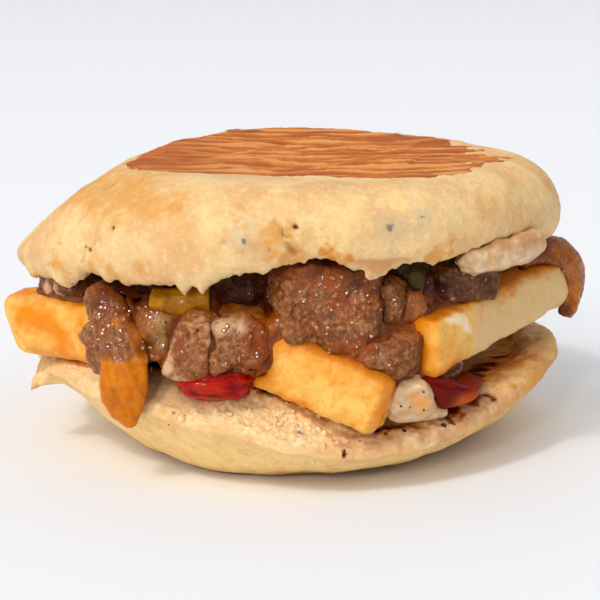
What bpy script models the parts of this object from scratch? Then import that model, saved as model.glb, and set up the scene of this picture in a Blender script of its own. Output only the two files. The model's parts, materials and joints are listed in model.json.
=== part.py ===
"""A round griddled flatbread, split level and filled with fried liver, thick chips, onion, pepper and sauce.

Sizes and places are in millimetres and turned to metres where a mesh is made. +Z is up and -Y is the open
front. The origin is the middle of the flat patch that the lower bread rests on. Angles go anticlockwise seen
from above: 0 is the right, 90 the back, 180 the left and 270 the front.
"""

import math

import bmesh
import bpy
from mathutils import Quaternion, Vector, noise

MM = 0.001

# Clearance between neighbouring pieces
GAP = 0.35

# Upper bread: a thick flat disc, pressed level on top, with a torn lower hem
TOP_HEIGHT = 66.0
TOP_DISH = 0.9
TOP_REACH = {0: 63.8, 60: 61.0, 120: 60.5, 180: 64.6, 225: 64.0, 270: 62.5, 315: 64.0}
TOP_FLAT = {0: 45.0, 45: 40.0, 90: 44.0, 135: 34.0, 180: 29.0, 225: 43.0, 270: 51.0, 315: 51.0}
TOP_WIDEST = {0: 53.0, 90: 53.0, 150: 48.0, 180: 43.0, 215: 48.0, 250: 56.0, 290: 57.5, 330: 56.0}
SHOULDER_FULLNESS = {0: 2.0, 50: 1.6, 90: 1.7, 140: 1.25, 180: 1.15, 215: 1.5, 250: 2.1, 290: 2.2, 330: 2.2}
HEM_HEIGHT = {0: 46.0, 45: 45.5, 90: 46.5, 140: 43.5, 180: 39.0, 205: 41.0, 226: 45.0, 240: 45.0, 262: 47.8,
              275: 50.8, 298: 49.6, 317: 52.0, 332: 50.5, 346: 48.0}
HEM_INSET = 3.0
# Shreds of the hem: angle, half width in degrees, and how far it hangs down or is torn up
HEM_TEARS = ((24, 5, 1.6), (51, 6, -1.5), (83, 5, 2.0), (118, 6, -1.6), (149, 5, 1.8), (198, 5, 1.4),
             (218, 6, 2.2), (236, 6, 1.6), (253, 5, 2.4), (288, 7, 3.6))
TOP_CUT_RADIUS = 40.0
TOP_CUT_HEIGHT = 49.5
TOP_SEGMENTS = 80

# Lower bread: a shallow saucer with a flat foot and a torn crumb shoulder inside its rim
FOOT_RADIUS = {0: 37.0, 90: 39.0, 180: 35.0, 205: 35.0, 225: 39.0, 252: 44.0, 290: 38.5, 320: 35.5}
BASE_REACH = {0: 64.4, 60: 62.0, 120: 61.5, 180: 60.5, 225: 60.5, 270: 62.5, 315: 62.5}
RIM_HEIGHT = {0: 21.5, 45: 20.5, 90: 20.0, 135: 20.0, 180: 21.0, 210: 21.5, 225: 20.5, 240: 19.0, 254: 17.5,
              272: 13.0, 284: 11.2, 296: 11.8, 306: 13.5, 325: 18.0, 340: 21.0}
CRUMB_HEIGHT = {0: 18.5, 90: 20.0, 180: 19.5, 230: 22.5, 252: 23.5, 268: 19.5, 284: 14.8, 306: 16.5,
                330: 18.0}
UNDERSIDE_POWER = {0: 1.9, 90: 1.9, 180: 1.35, 205: 1.3, 230: 1.6, 270: 1.9, 305: 2.0, 330: 2.1}
LIP_DEPTH = 3.0
# A torn strand of the rim that hangs down clear of the underside
STRAND_ANGLE = 200.0
STRAND_HALF_WIDTH = 5.0
STRAND_OUT = 3.6
STRAND_DROP = 5.6
BASE_CUT_RADIUS = 38.0
BASE_CUT_HEIGHT = 16.0
BASE_SEGMENTS = 72

# Chopped filling packed between the breads, inside the ring of larger pieces
CORE_PROFILE = ((37.0, 49.0), (41.5, 47.0), (44.0, 41.5), (45.0, 33.0), (43.0, 24.0), (40.0, 18.6),
                (36.5, 16.5))
CORE_LUMP = 2.0
CORE_SEGMENTS = 36

# Fried potato: how far its corners and ends are worn round
CHIP_CORNER_POWER = 0.42
CHIP_POINTS_ROUND = 16
CHIP_END_BEVEL = 1.4
CHIP_END_SHARE = 0.74

# Soft strips
STRIP_THICKNESS = 3.0
STRIP_CUP = 0.1
STRIP_STATIONS = 13
STRIP_POINTS_ROUND = 10

# Colours as red, green, blue in linear light, then roughness
LOOKS = {
    "griddled_bread": ((0.83, 0.56, 0.28), 0.65),
    "liver": ((0.22, 0.085, 0.04), 0.35),
    "fried_potato": ((0.87, 0.46, 0.09), 0.45),
    "soft_onion": ((0.58, 0.20, 0.02), 0.25),
    "sweet_pepper": ((0.35, 0.13, 0.01), 0.25),
    "tomato": ((0.47, 0.02, 0.01), 0.2),
    "mayonnaise": ((0.72, 0.52, 0.34), 0.35),
    "chilli_sauce": ((0.12, 0.01, 0.005), 0.12),
}


def clear_scene():
    for obj in list(bpy.data.objects):
        bpy.data.objects.remove(obj)


def look(name):
    """The material of that name, made the first time it is asked for."""
    found = bpy.data.materials.get(name)
    if found:
        return found
    colour, roughness = LOOKS[name]
    made = bpy.data.materials.new(name)
    made.use_nodes = True
    shader = made.node_tree.nodes["Principled BSDF"]
    shader.inputs["Base Color"].default_value = (*colour, 1.0)
    shader.inputs["Roughness"].default_value = roughness
    shader.inputs["Metallic"].default_value = 0.0
    made.diffuse_color = (*colour, 1.0)
    return made


def around(knots, angle):
    """A value read smoothly round the bread from a few named angles."""
    angles = sorted(knots)
    angle %= 360
    for i, start in enumerate(angles):
        end = angles[(i + 1) % len(angles)]
        span = (end - start) % 360 or 360
        past = (angle - start) % 360
        if past <= span:
            share = past / span
            share = share * share * (3 - 2 * share)
            return knots[start] + (knots[end] - knots[start]) * share
    raise ValueError("no span holds the angle")


def tent(angle, centre, half_width):
    """1 at centre, falling straight to 0 at half_width degrees to either side."""
    apart = abs((angle - centre + 180) % 360 - 180)
    return max(0.0, 1.0 - apart / half_width)


def unevenness(angle, height, waves, seed):
    """Smooth noise from -1 to 1 round the bread, about that many waves in a turn."""
    turn = math.radians(angle)
    reach = waves / (2 * math.pi)
    return noise.noise(Vector((reach * math.cos(turn), reach * math.sin(turn), height + 10.0 * seed)))


def spot(angle, radius, height):
    """A point given by its angle round the bread, its distance from the middle and its height."""
    turn = math.radians(angle)
    return (radius * math.cos(turn), radius * math.sin(turn), height)


def name_seed(name):
    """A number of its own for each piece, so that no two lumps are alike."""
    return sum(ord(letter) for letter in name) % 97


def finished_mesh(name, bm):
    """The mesh of bm in flat triangles, with its faces turned outwards and its soft edges shaded smooth."""
    bmesh.ops.triangulate(bm, faces=bm.faces)
    bmesh.ops.recalc_face_normals(bm, faces=bm.faces)
    mesh = bpy.data.meshes.new(name)
    bm.to_mesh(mesh)
    bm.free()
    mesh.shade_smooth()
    mesh.set_sharp_from_angle(angle=math.radians(50))
    return mesh


def mesh_from_rings(name, rings):
    """A closed mesh through rings of points, with a flat cap on the first and the last."""
    bm = bmesh.new()
    made = [[bm.verts.new(Vector(point) * MM) for point in ring] for ring in rings]
    count = len(rings[0])
    for upper, lower in zip(made, made[1:]):
        for i in range(count):
            j = (i + 1) % count
            bm.faces.new((upper[i], upper[j], lower[j], lower[i]))
    bm.faces.new(made[0])
    bm.faces.new(made[-1])
    return finished_mesh(name, bm)


def add_object(name, mesh, material):
    obj = bpy.data.objects.new(name, mesh)
    bpy.context.scene.collection.objects.link(obj)
    obj.data.materials.append(look(material))
    return obj


def turned_solid(name, profile_of, segments, material):
    """A solid turned about Z whose profile, a list of (radius, height), changes with the angle."""
    profiles = []
    for i in range(segments):
        angle = 360.0 * i / segments
        profiles.append([spot(angle, radius, height) for radius, height in profile_of(angle)])
    return add_object(name, mesh_from_rings(name, list(zip(*profiles))), material)


# Breads and core

def torn_hem(angle):
    """Height of the upper bread's lower edge, with its hanging and missing shreds."""
    hem = around(HEM_HEIGHT, angle) + 0.5 * unevenness(angle, 0.0, 30, 1)
    return hem - sum(drop * tent(angle, centre, half_width) for centre, half_width, drop in HEM_TEARS)


def top_bread_profile(angle):
    """From the dished top over the shoulder to the hem, then in under the bread to its flat cut."""
    reach = around(TOP_REACH, angle) + 0.6 * unevenness(angle, 0.0, 9, 2)
    flat = around(TOP_FLAT, angle)
    widest = around(TOP_WIDEST, angle)
    hem = torn_hem(angle)
    points = [(flat * share, TOP_HEIGHT - TOP_DISH * (1 - share ** 2)) for share in (0.35, 0.75, 1.0)]
    power = 2 / around(SHOULDER_FULLNESS, angle)
    for step in (1, 2, 3, 4, 5):
        turn = math.radians(90 * step / 5)
        out = math.sin(turn) ** power
        rise = max(math.cos(turn), 0.0) ** power
        points.append((flat + (reach - flat) * out, widest + (TOP_HEIGHT - widest) * rise))
    for share in (0.45, 0.8, 1.0):
        tuck = HEM_INSET * (1 - math.sqrt(1 - share ** 2))
        points.append((reach - tuck, widest + (hem - widest) * share))
    points.append((reach - HEM_INSET - 2.5, hem + 1.2))
    points.append(((reach + TOP_CUT_RADIUS) / 2, (hem + 1.6 + TOP_CUT_HEIGHT) / 2))
    points.append((TOP_CUT_RADIUS, TOP_CUT_HEIGHT))
    return points


def base_bread_profile(angle):
    """From the flat cut out over the crumb shoulder to the rim, then in under the bread to its foot."""
    strand = tent(angle, STRAND_ANGLE, STRAND_HALF_WIDTH)
    reach = around(BASE_REACH, angle) + 0.6 * unevenness(angle, 5.0, 9, 3)
    rim = around(RIM_HEIGHT, angle) + 0.7 * unevenness(angle, 5.0, 26, 4)
    tip_reach = reach + STRAND_OUT * strand
    tip_rim = rim - STRAND_DROP * strand
    crumb = around(CRUMB_HEIGHT, angle) + 0.9 * unevenness(angle, 6.0, 22, 5)
    points = [(BASE_CUT_RADIUS, BASE_CUT_HEIGHT), (BASE_CUT_RADIUS + 5, BASE_CUT_HEIGHT + 0.5)]
    points.append((0.76 * reach, crumb - 0.2))
    points.append((0.82 * reach, crumb - 0.1))
    points.append((0.89 * reach, 0.45 * crumb + 0.55 * rim + 0.6))
    points.append((tip_reach - 2.6, tip_rim + 0.1))
    points.append((tip_reach - 0.8, tip_rim - 0.7))
    points.append((tip_reach, tip_rim - LIP_DEPTH))
    foot = around(FOOT_RADIUS, angle)
    power = around(UNDERSIDE_POWER, angle)
    for share in (0.86, 0.68, 0.46, 0.22):
        points.append((foot + (reach - foot) * share, (rim - LIP_DEPTH) * share ** power))
    points.append((foot, 0.0))
    return points


def core_profile(angle):
    return [(radius + CORE_LUMP * unevenness(angle, z * 0.12, 14, 6), z) for radius, z in CORE_PROFILE]


# Filling pieces

def chunk(name, material, centre, size, turn, roundness=0.4, lump=0.12, cuts=2, top_share=1.0, top_lean=0.0):
    """A cut lump: a box with its corners drawn in by roundness and made uneven by lump, a share of its size.

    Its top is top_share as wide as its foot and is moved aside by top_lean, a share of its half width.
    """
    bm = bmesh.new()
    bmesh.ops.create_cube(bm, size=2.0)
    bmesh.ops.subdivide_edges(bm, edges=bm.edges, cuts=cuts, use_grid_fill=True)
    ball_radius = 1.2
    seed = name_seed(name)
    for vert in bm.verts:
        point = vert.co.lerp(vert.co.normalized() * ball_radius, roundness)
        point *= 1.0 + lump * 1.8 * noise.noise(point * 1.1 + Vector((seed * 7.3, seed * 3.1, seed)))
        rise = (point.z + 1.0) / 2
        point.x = point.x * (1.0 + (top_share - 1.0) * rise) + top_lean * rise
        vert.co = [share * side * MM / 2 for share, side in zip(point, size)]
    lump_object = add_object(name, finished_mesh(name, bm), material)
    lump_object.location = Vector(centre) * MM
    lump_object.rotation_euler = [math.radians(degrees) for degrees in turn]
    return lump_object


def chip(name, near, far, width, height, roll=0.0, bow=1.0, near_slant=0.0, far_share=1.0):
    """A thick fried potato stick, whose own Y axis runs from the near end to the far end.

    It is lifted in the middle by bow, leans at the near end by near_slant, and far_share is the far end's
    size as a share of the near end's.
    """
    near, far = Vector(near), Vector(far)
    length = (far - near).length
    bevel = CHIP_END_BEVEL / length
    seed = name_seed(name)
    rings = []
    for place, scale in ((0.0, CHIP_END_SHARE), (bevel, 1.0), (0.35, 1.0), (0.65, 1.0), (1.0 - bevel, 1.0),
                         (1.0, CHIP_END_SHARE)):
        swell = 1.0 + 0.07 * noise.noise(Vector((place * length * 0.12, seed * 5.7, 0.3)))
        share = scale * swell * (1.0 + (far_share - 1.0) * place)
        ring = []
        for i in range(CHIP_POINTS_ROUND):
            turn = 2 * math.pi * (i + 0.5) / CHIP_POINTS_ROUND
            across = math.copysign(abs(math.cos(turn)) ** CHIP_CORNER_POWER, math.cos(turn))
            rise = math.copysign(abs(math.sin(turn)) ** CHIP_CORNER_POWER, math.sin(turn))
            lean = near_slant * rise / 2 if place <= bevel else 0.0
            ring.append((across * width / 2 * share, (place - 0.5) * length + lean,
                         rise * height / 2 * share + bow * math.sin(math.pi * place)))
        rings.append(ring)
    stick = add_object(name, mesh_from_rings(name, rings), "fried_potato")
    stick.location = (near + far) / 2 * MM
    stick.rotation_mode = "QUATERNION"
    along = (far - near).to_track_quat("Y", "Z")
    stick.rotation_quaternion = along @ Quaternion((0, 1, 0), math.radians(roll))
    return stick


def smooth_route(route, count):
    """That many points along a smooth curve through the route's own points."""
    points = [Vector(point) for point in route]
    points = [2 * points[0] - points[1], *points, 2 * points[-1] - points[-2]]
    spans = len(points) - 3
    made = []
    for i in range(count):
        place = spans * i / (count - 1)
        span = min(int(place), spans - 1)
        t = place - span
        a, b, c, d = points[span:span + 4]
        bend = (2 * a - 5 * b + 4 * c - d) * t ** 2 + (3 * b - a - 3 * c + d) * t ** 3
        made.append(0.5 * (2 * b + (c - a) * t + bend))
    return made


def strip(name, material, route, widths, facing):
    """A soft strip along a route: lens-shaped across, slightly cupped, its broad side turned to facing.

    widths are its widths at even steps from the start of the route to its end.
    """
    middles = smooth_route(route, STRIP_STATIONS)
    rings = []
    for i, middle in enumerate(middles):
        before, after = middles[max(i - 1, 0)], middles[min(i + 1, STRIP_STATIONS - 1)]
        along = (after - before).normalized()
        side = along.cross(Vector(facing)).normalized()
        out = side.cross(along)
        place = (len(widths) - 1) * i / (STRIP_STATIONS - 1)
        step = min(int(place), len(widths) - 2)
        width = widths[step] + (widths[step + 1] - widths[step]) * (place - step)
        thickness = STRIP_THICKNESS * (0.4 + 0.6 * width / max(widths))
        ring = []
        for k in range(STRIP_POINTS_ROUND):
            turn = 2 * math.pi * k / STRIP_POINTS_ROUND
            across = math.cos(turn)
            lift = math.sin(turn) * thickness / 2 - STRIP_CUP * width * across ** 2
            ring.append(middle + side * across * width / 2 + out * lift)
        rings.append(ring)
    return add_object(name, mesh_from_rings(name, rings), material)


def front_filling():
    """What shows in the open front, each piece giving way to those named before it."""
    return [
        chunk("liver_mid", "liver", centre=(-10.2, -56.6, 32.0), size=(11.4, 7.6, 11.0), turn=(-6, 6, 4),
              roundness=0.6, lump=0.28),
        chunk("liver_cut_end", "liver", centre=(-21.2, -56.0, 32.0), size=(11.0, 8.4, 13.4), turn=(6, 5, -12),
              roundness=0.26, top_share=0.56, top_lean=0.42),
        chip("chip_front", near=(20.8, -57.8, 19.6), far=(-13.0, -47.6, 31.7), width=12.6, height=13.6,
             roll=3, bow=0.4, far_share=0.97),
        chip("chip_right", near=(26.4, -50.4, 29.8), far=(61.4, -7.8, 36.2), width=12.8, height=13.0, roll=-5,
             bow=0.5, near_slant=1.6, far_share=0.88),
        chip("chip_left", near=(-61.6, -18.4, 29.0), far=(-33.6, -36.2, 29.2), width=14.0, height=13.8,
             roll=6, near_slant=-4.4),
        chunk("liver_front", "liver", centre=(8.4, -48.0, 39.0), size=(22.4, 21.0, 18.8), turn=(-6, 4, 6),
              roundness=0.42, lump=0.16, cuts=3),
        chunk("liver_front_lobe", "liver", centre=(20.4, -47.6, 40.0), size=(8.6, 13.0, 9.6),
              turn=(0, 8, -12), roundness=0.55, lump=0.16),
        chunk("liver_low", "liver", centre=(19.4, -54.2, 29.8), size=(15.4, 11.0, 7.6), turn=(4, -2, 4),
              roundness=0.5, lump=0.18),
        strip("onion_drape", "soft_onion",
              route=[(-42.8, -42.6, 41.6), (-39.9, -46.5, 38.1), (-37.9, -50.0, 34.5), (-35.5, -53.0, 30.3),
                     (-35.4, -54.8, 25.2), (-35.5, -55.0, 19.8), (-33.8, -54.0, 14.0)],
              widths=(5.8, 7.8, 9.4, 9.6, 9.8, 10.0, 10.2, 10.4, 10.6, 10.6, 10.0, 7.4, 2.2),
              facing=(-0.2, -0.97, 0.1)),
        chunk("liver_slab", "liver", centre=(-41.4, -44.0, 28.8), size=(6.2, 5.0, 10.6), turn=(-8, -36, -36),
              roundness=0.45, lump=0.18),
        chunk("tomato_front", "tomato", centre=(-15.4, -55.4, 24.4), size=(14.2, 9.5, 7.2), turn=(-14, 2, 4),
              roundness=0.75, lump=0.08),
        strip("pepper_yellow", "sweet_pepper",
              route=[(-29.4, -49.0, 40.4), (-23.6, -51.6, 40.6), (-17.0, -52.0, 41.0)],
              widths=(5.6, 6.2, 5.6), facing=(-0.1, -0.92, 0.3)),
        chunk("onion_mid", "soft_onion", centre=(-29.0, -49.4, 33.4), size=(9.4, 7.5, 9.8), turn=(6, 10, -20),
              roundness=0.55, lump=0.16),
        strip("onion_sauced", "soft_onion",
              route=[(-17.6, -48.4, 37.4), (-9.6, -50.6, 37.4), (-1.0, -50.4, 35.6)],
              widths=(5.4, 7.4, 5.0), facing=(0.0, -0.55, 0.83)),
        strip("onion_right", "soft_onion",
              route=[(52.8, -19.0, 43.6), (59.2, -15.0, 45.2), (65.0, -11.8, 42.8), (67.0, -10.4, 37.0),
                     (65.0, -12.6, 28.6)],
              widths=(5.0, 7.0, 8.5, 8.5, 4.0), facing=(0.62, -0.62, 0.48)),
        chunk("pepper_green", "sweet_pepper", centre=(25.4, -43.4, 44.0), size=(9.6, 6.4, 8.0),
              turn=(0, 12, -18)),
        chunk("onion_inner", "soft_onion", centre=(25.8, -46.8, 37.6), size=(7.4, 6.4, 8.4), turn=(0, 12, 10),
              roundness=0.6),
        chunk("liver_inner_right", "liver", centre=(37.4, -38.4, 42.6), size=(14.5, 10.0, 8.6),
              turn=(0, 4, 34)),
        chunk("liver_inner_left", "liver", centre=(-9.4, -43.6, 42.6), size=(19.0, 11.0, 9.4),
              turn=(0, -3, 4)),
        chunk("liver_inner_far_left", "liver", centre=(-31.4, -39.0, 43.2), size=(18.0, 10.0, 7.6),
              turn=(0, 2, -38)),
        chunk("liver_left_end", "liver", centre=(-48.5, -25.0, 40.2), size=(17.0, 12.0, 5.4),
              turn=(4, -10, -52)),
        chunk("mayonnaise_upper", "mayonnaise", centre=(46.2, -38.8, 48.6), size=(24.0, 10.0, 6.2),
              turn=(-18, -9, 34), roundness=0.8),
        chunk("mayonnaise_lower", "mayonnaise", centre=(27.4, -52.0, 20.4), size=(15.8, 7.6, 11.0),
              turn=(28, 0, 16), roundness=0.4, lump=0.16, top_share=0.42, top_lean=-0.42),
        chunk("sauce_pool", "chilli_sauce", centre=(34.8, -46.0, 19.9), size=(15.5, 9.6, 4.2),
              turn=(12, -4, 40), roundness=0.9, lump=0.08),
    ]


def back_filling():
    """The same mix carried on round the right, back and left sides."""
    return [
        chip("chip_back_right", near=spot(47, 66.0, 30.5), far=spot(60, 36.0, 33.0), width=13.0, height=12.8,
             roll=10),
        chip("chip_back_left", near=spot(102, 57.0, 28.5), far=spot(150, 56.0, 30.5), width=12.8, height=12.8,
             roll=-12),
        chunk("liver_right", "liver", centre=spot(14, 50.5, 35.0), size=(17.0, 18.0, 18.0), turn=(6, 8, 14),
              roundness=0.35),
        chunk("liver_back_right", "liver", centre=spot(71, 51.0, 37.0), size=(21.0, 16.0, 18.0),
              turn=(-5, 4, -19),
              roundness=0.32),
        chunk("liver_back", "liver", centre=spot(94, 51.0, 40.5), size=(16.0, 14.0, 12.0), turn=(4, -6, 4)),
        chunk("liver_back_left", "liver", centre=spot(127, 50.0, 41.0), size=(21.0, 15.0, 11.5),
              turn=(8, 5, 38)),
        chunk("liver_left", "liver", centre=spot(172, 52.0, 31.5), size=(14.0, 20.0, 14.5), turn=(0, -8, -6)),
        strip("onion_back", "soft_onion",
              route=[spot(82, 47.0, 34.0), spot(86, 56.0, 32.5), spot(89, 61.6, 27.0), spot(90, 63.6, 18.6)],
              widths=(7.0, 9.0, 11.0, 4.0), facing=(0.0, 0.9, 0.4)),
        strip("pepper_back", "sweet_pepper",
              route=[spot(30, 56.0, 40.0), spot(38, 60.0, 43.0), spot(50, 60.0, 42.6), spot(60, 57.0, 40.4)],
              widths=(5.0, 7.0, 7.0, 5.0), facing=(0.7, 0.7, 0.1)),
        chunk("tomato_back", "tomato", centre=spot(153, 53.5, 40.0), size=(9.0, 15.0, 7.0), turn=(0, 6, -20),
              roundness=0.75, lump=0.08),
        chunk("tomato_right", "tomato", centre=spot(29, 54.0, 25.0), size=(11.0, 15.0, 8.0), turn=(0, 8, 30),
              roundness=0.75, lump=0.08),
    ]


# Fitting the pieces against each other

def grown_copy(obj):
    """A cutter of obj's uncut shape, larger by the clearance all round."""
    bm = bmesh.new()
    bm.from_mesh(obj.data)
    bm.normal_update()
    shifts = [vert.normal * (GAP * MM * vert.calc_shell_factor()) for vert in bm.verts]
    for vert, shift in zip(bm.verts, shifts):
        vert.co += shift
    mesh = bpy.data.meshes.new(obj.name + "_cutter")
    bm.to_mesh(mesh)
    bm.free()
    cutter = bpy.data.objects.new(mesh.name, mesh)
    bpy.context.scene.collection.objects.link(cutter)
    cutter.matrix_basis = obj.matrix_basis
    cutter.hide_render = True
    cutter.display_type = "WIRE"
    return cutter


def boxes_meet(a, b):
    """Whether the boxes round two objects overlap."""
    a_points = [a.matrix_basis @ vert.co for vert in a.data.vertices]
    b_points = [b.matrix_basis @ vert.co for vert in b.data.vertices]
    for axis in range(3):
        a_side = [point[axis] for point in a_points]
        b_side = [point[axis] for point in b_points]
        if min(a_side) > max(b_side) or min(b_side) > max(a_side):
            return False
    return True


def keep_largest_body(obj):
    """Drops the loose scraps that cutting leaves."""
    bm = bmesh.new()
    bm.from_mesh(obj.data)
    unseen = set(bm.verts)
    bodies = []
    while unseen:
        body, frontier = [], [unseen.pop()]
        while frontier:
            vert = frontier.pop()
            body.append(vert)
            neighbours = {edge.other_vert(vert) for edge in vert.link_edges} & unseen
            unseen -= neighbours
            frontier.extend(neighbours)
        bodies.append(body)
    bodies.sort(key=len)
    for scrap in bodies[:-1]:
        bmesh.ops.delete(bm, geom=scrap, context="VERTS")
    bm.to_mesh(obj.data)
    bm.free()


def cut_clear(piece, cutters):
    """Cuts piece back by every cutter that it reaches."""
    reached = [cutter for cutter in cutters if boxes_meet(piece, cutter)]
    for cutter in reached:
        modifier = piece.modifiers.new(cutter.name, "BOOLEAN")
        modifier.operation = "DIFFERENCE"
        modifier.solver = "EXACT"
        modifier.object = cutter
    if reached:
        graph = bpy.context.evaluated_depsgraph_get()
        cut = bpy.data.meshes.new_from_object(piece.evaluated_get(graph))
        piece.modifiers.clear()
        piece.data = cut
        keep_largest_body(piece)


def main():
    clear_scene()
    top = turned_solid("bread_top", top_bread_profile, TOP_SEGMENTS, "griddled_bread")
    base = turned_solid("bread_base", base_bread_profile, BASE_SEGMENTS, "griddled_bread")
    core = turned_solid("liver_core", core_profile, CORE_SEGMENTS, "liver")
    cutters = [grown_copy(whole) for whole in (top, base, core)]
    for piece in front_filling() + back_filling():
        cutter = grown_copy(piece)
        cut_clear(piece, cutters)
        cutters.append(cutter)
    for cutter in cutters:
        bpy.data.objects.remove(cutter)


main()
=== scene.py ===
"""A griddled flatbread filled with fried liver, thick chips, soft onion, pepper and sauce, dressed to be looked at.

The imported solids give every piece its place. Lengths are millimetres, turned to metres where a mesh is made. +Z is
up, -Y is the open front, and angles go anticlockwise round the bread: 0 is the right, 180 the left, 270 the front.
"""

import json
import math

import bmesh
import bpy
import numpy as np
from mathutils import Matrix, Vector, noise
from mathutils.bvhtree import BVHTree

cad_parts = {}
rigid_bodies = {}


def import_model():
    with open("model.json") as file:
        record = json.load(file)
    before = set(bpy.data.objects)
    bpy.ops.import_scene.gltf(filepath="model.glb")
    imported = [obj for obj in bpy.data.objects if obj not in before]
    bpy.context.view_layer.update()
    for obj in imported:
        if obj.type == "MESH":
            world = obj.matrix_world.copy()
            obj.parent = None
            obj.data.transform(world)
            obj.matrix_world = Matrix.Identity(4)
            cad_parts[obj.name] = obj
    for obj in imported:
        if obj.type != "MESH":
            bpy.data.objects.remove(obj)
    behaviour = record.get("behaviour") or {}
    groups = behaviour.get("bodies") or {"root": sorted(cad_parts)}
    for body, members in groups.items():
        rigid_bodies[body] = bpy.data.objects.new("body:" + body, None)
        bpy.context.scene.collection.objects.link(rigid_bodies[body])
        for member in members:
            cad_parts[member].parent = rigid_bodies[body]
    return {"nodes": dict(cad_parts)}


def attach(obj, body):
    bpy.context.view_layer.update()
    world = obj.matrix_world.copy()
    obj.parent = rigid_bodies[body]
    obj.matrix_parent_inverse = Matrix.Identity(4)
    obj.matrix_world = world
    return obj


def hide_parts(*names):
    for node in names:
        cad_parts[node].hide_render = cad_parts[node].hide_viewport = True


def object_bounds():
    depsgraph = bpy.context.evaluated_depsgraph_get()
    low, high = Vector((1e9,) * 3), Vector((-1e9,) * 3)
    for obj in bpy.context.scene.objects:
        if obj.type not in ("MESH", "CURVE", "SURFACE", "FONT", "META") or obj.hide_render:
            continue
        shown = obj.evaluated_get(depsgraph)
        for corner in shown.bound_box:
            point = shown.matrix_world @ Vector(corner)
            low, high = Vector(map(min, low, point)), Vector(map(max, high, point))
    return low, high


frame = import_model()
cad_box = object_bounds()
MM = 0.001


# Upper bread
# The lid of a round soft flatbread: floured pale skin over an airy crumb. It was pressed level on a hot plate, which
# browned and wrinkled its flat top, and its lower edge is torn where the bread was opened by hand.

TOP_HEIGHT = 66.0
TOP_DISH = 0.9
TOP_REACH = {0: 63.8, 60: 61.0, 120: 60.5, 180: 64.6, 225: 64.0, 270: 62.5, 315: 64.0}
TOP_FLAT = {0: 45.0, 45: 40.0, 90: 44.0, 135: 34.0, 180: 29.0, 225: 43.0, 270: 51.0, 315: 51.0}
TOP_WIDEST = {0: 53.0, 90: 53.0, 150: 48.0, 180: 43.0, 215: 48.0, 250: 56.0, 290: 57.5, 330: 56.0}
SHOULDER_FULLNESS = {0: 2.0, 50: 1.6, 90: 1.7, 140: 1.25, 180: 1.15, 215: 1.5, 250: 2.1, 290: 2.2, 330: 2.2}
HEM_HEIGHT = {0: 46.0, 45: 45.5, 90: 46.5, 140: 43.5, 180: 39.0, 205: 41.0, 226: 45.0, 240: 45.0, 262: 47.8,
              275: 50.8, 298: 49.6, 317: 52.0, 332: 50.5, 346: 48.0}
# How far in the side curls at the hem, how thick the torn edge there is, and how far it rises inward
HEM_INSET = 3.0
HEM_THICKNESS = 2.5
HEM_LIFT = 1.2
# Shreds of the hem: angle, half width in degrees, and how far it hangs down or is torn up
HEM_TEARS = ((24, 5, 1.6), (51, 6, -1.5), (83, 5, 2.0), (118, 6, -1.6), (149, 5, 1.8), (198, 5, 1.4),
             (218, 6, 2.2), (236, 6, 1.6), (253, 5, 2.4), (288, 7, 3.6), (286.6, 2.4, 0.9),
             (248.6, 1.9, 3.2), (252.4, 1.0, 1.2), (222.5, 1.6, 1.2), (231, 2.0, 1.0), (265, 1.5, 0.7),
             (300, 2.0, 0.8), (309, 1.8, -0.6), (12, 2, 1.2), (70, 2, 1.0), (104, 2.4, 1.4), (166, 2, 1.2))
INNER_CUT_RADIUS = 40.0
INNER_CUT_HEIGHT = 49.5
# How far out the browned patch reaches, and how ragged its edge is
BROWNED_REACH = {0: 45.0, 37: 44.0, 90: 46.0, 130: 42.0, 162: 39.0, 190: 40.0, 212: 42.5, 226: 44.6, 234: 43.6,
                 242: 40.8, 256: 37.2, 274: 37.5, 288: 41.6, 299: 48.0, 306: 53.4, 313: 55.0, 319: 55.6, 326: 53.0,
                 338: 49.0}
BROWNED_RAGGED = {0: 11.0, 90: 9.0, 180: 7.0, 205: 6.0, 222: 2.4, 232: 0.7, 300: 0.7, 312: 4.5, 322: 8.0, 340: 11.0}
# How sharp that edge is: the plate pressed hardest at the front
BROWNED_SHARPNESS = {0: 0.45, 60: 0.3, 120: 0.3, 180: 0.35, 205: 0.6, 225: 1.0, 305: 1.0, 325: 0.7}
UNTOUCHED = -5.0


def linear(hex_colour):
    """An sRGB hex colour as linear red, green, blue and alpha."""
    shares = [int(hex_colour[i:i + 2], 16) / 255 for i in (1, 3, 5)]
    return (*[s / 12.92 if s <= 0.04045 else ((s + 0.055) / 1.055) ** 2.4 for s in shares], 1.0)


def ramp(values, start, end):
    """0 up to start, 1 from end on, and a smooth rise between them."""
    share = np.clip((values - start) / (end - start), 0.0, 1.0)
    return share * share * (3 - 2 * share)


def around(knots, angles):
    """Values read smoothly round the bread, at each angle in degrees, from a few named angles."""
    starts = sorted(knots)
    values = np.zeros(len(angles))
    for start, end in zip(starts, starts[1:] + [starts[0] + 360]):
        past = (angles - start) % 360
        share = np.clip(past / (end - start), 0, 1)
        share = share * share * (3 - 2 * share)
        low, high = knots[start], knots[end % 360]
        values = np.where(past <= end - start, low + (high - low) * share, values)
    return values


def wobble(angles, height, waves, seed):
    """Smooth noise from -1 to 1 round the bread, about that many waves in a turn."""
    turns = np.radians(angles)
    reach = waves / (2 * math.pi)
    level = height + 10.0 * seed
    return np.array([noise.noise((reach * math.cos(t), reach * math.sin(t), level)) for t in turns])


def tents(angles, peaks):
    """The sum of sharp peaks round the bread, each given by its angle, half width in degrees and height."""
    total = np.zeros(len(angles))
    for centre, half_width, height in peaks:
        apart = np.abs((angles - centre + 180) % 360 - 180)
        total += height * np.clip(1 - apart / half_width, 0, 1)
    return total


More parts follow.
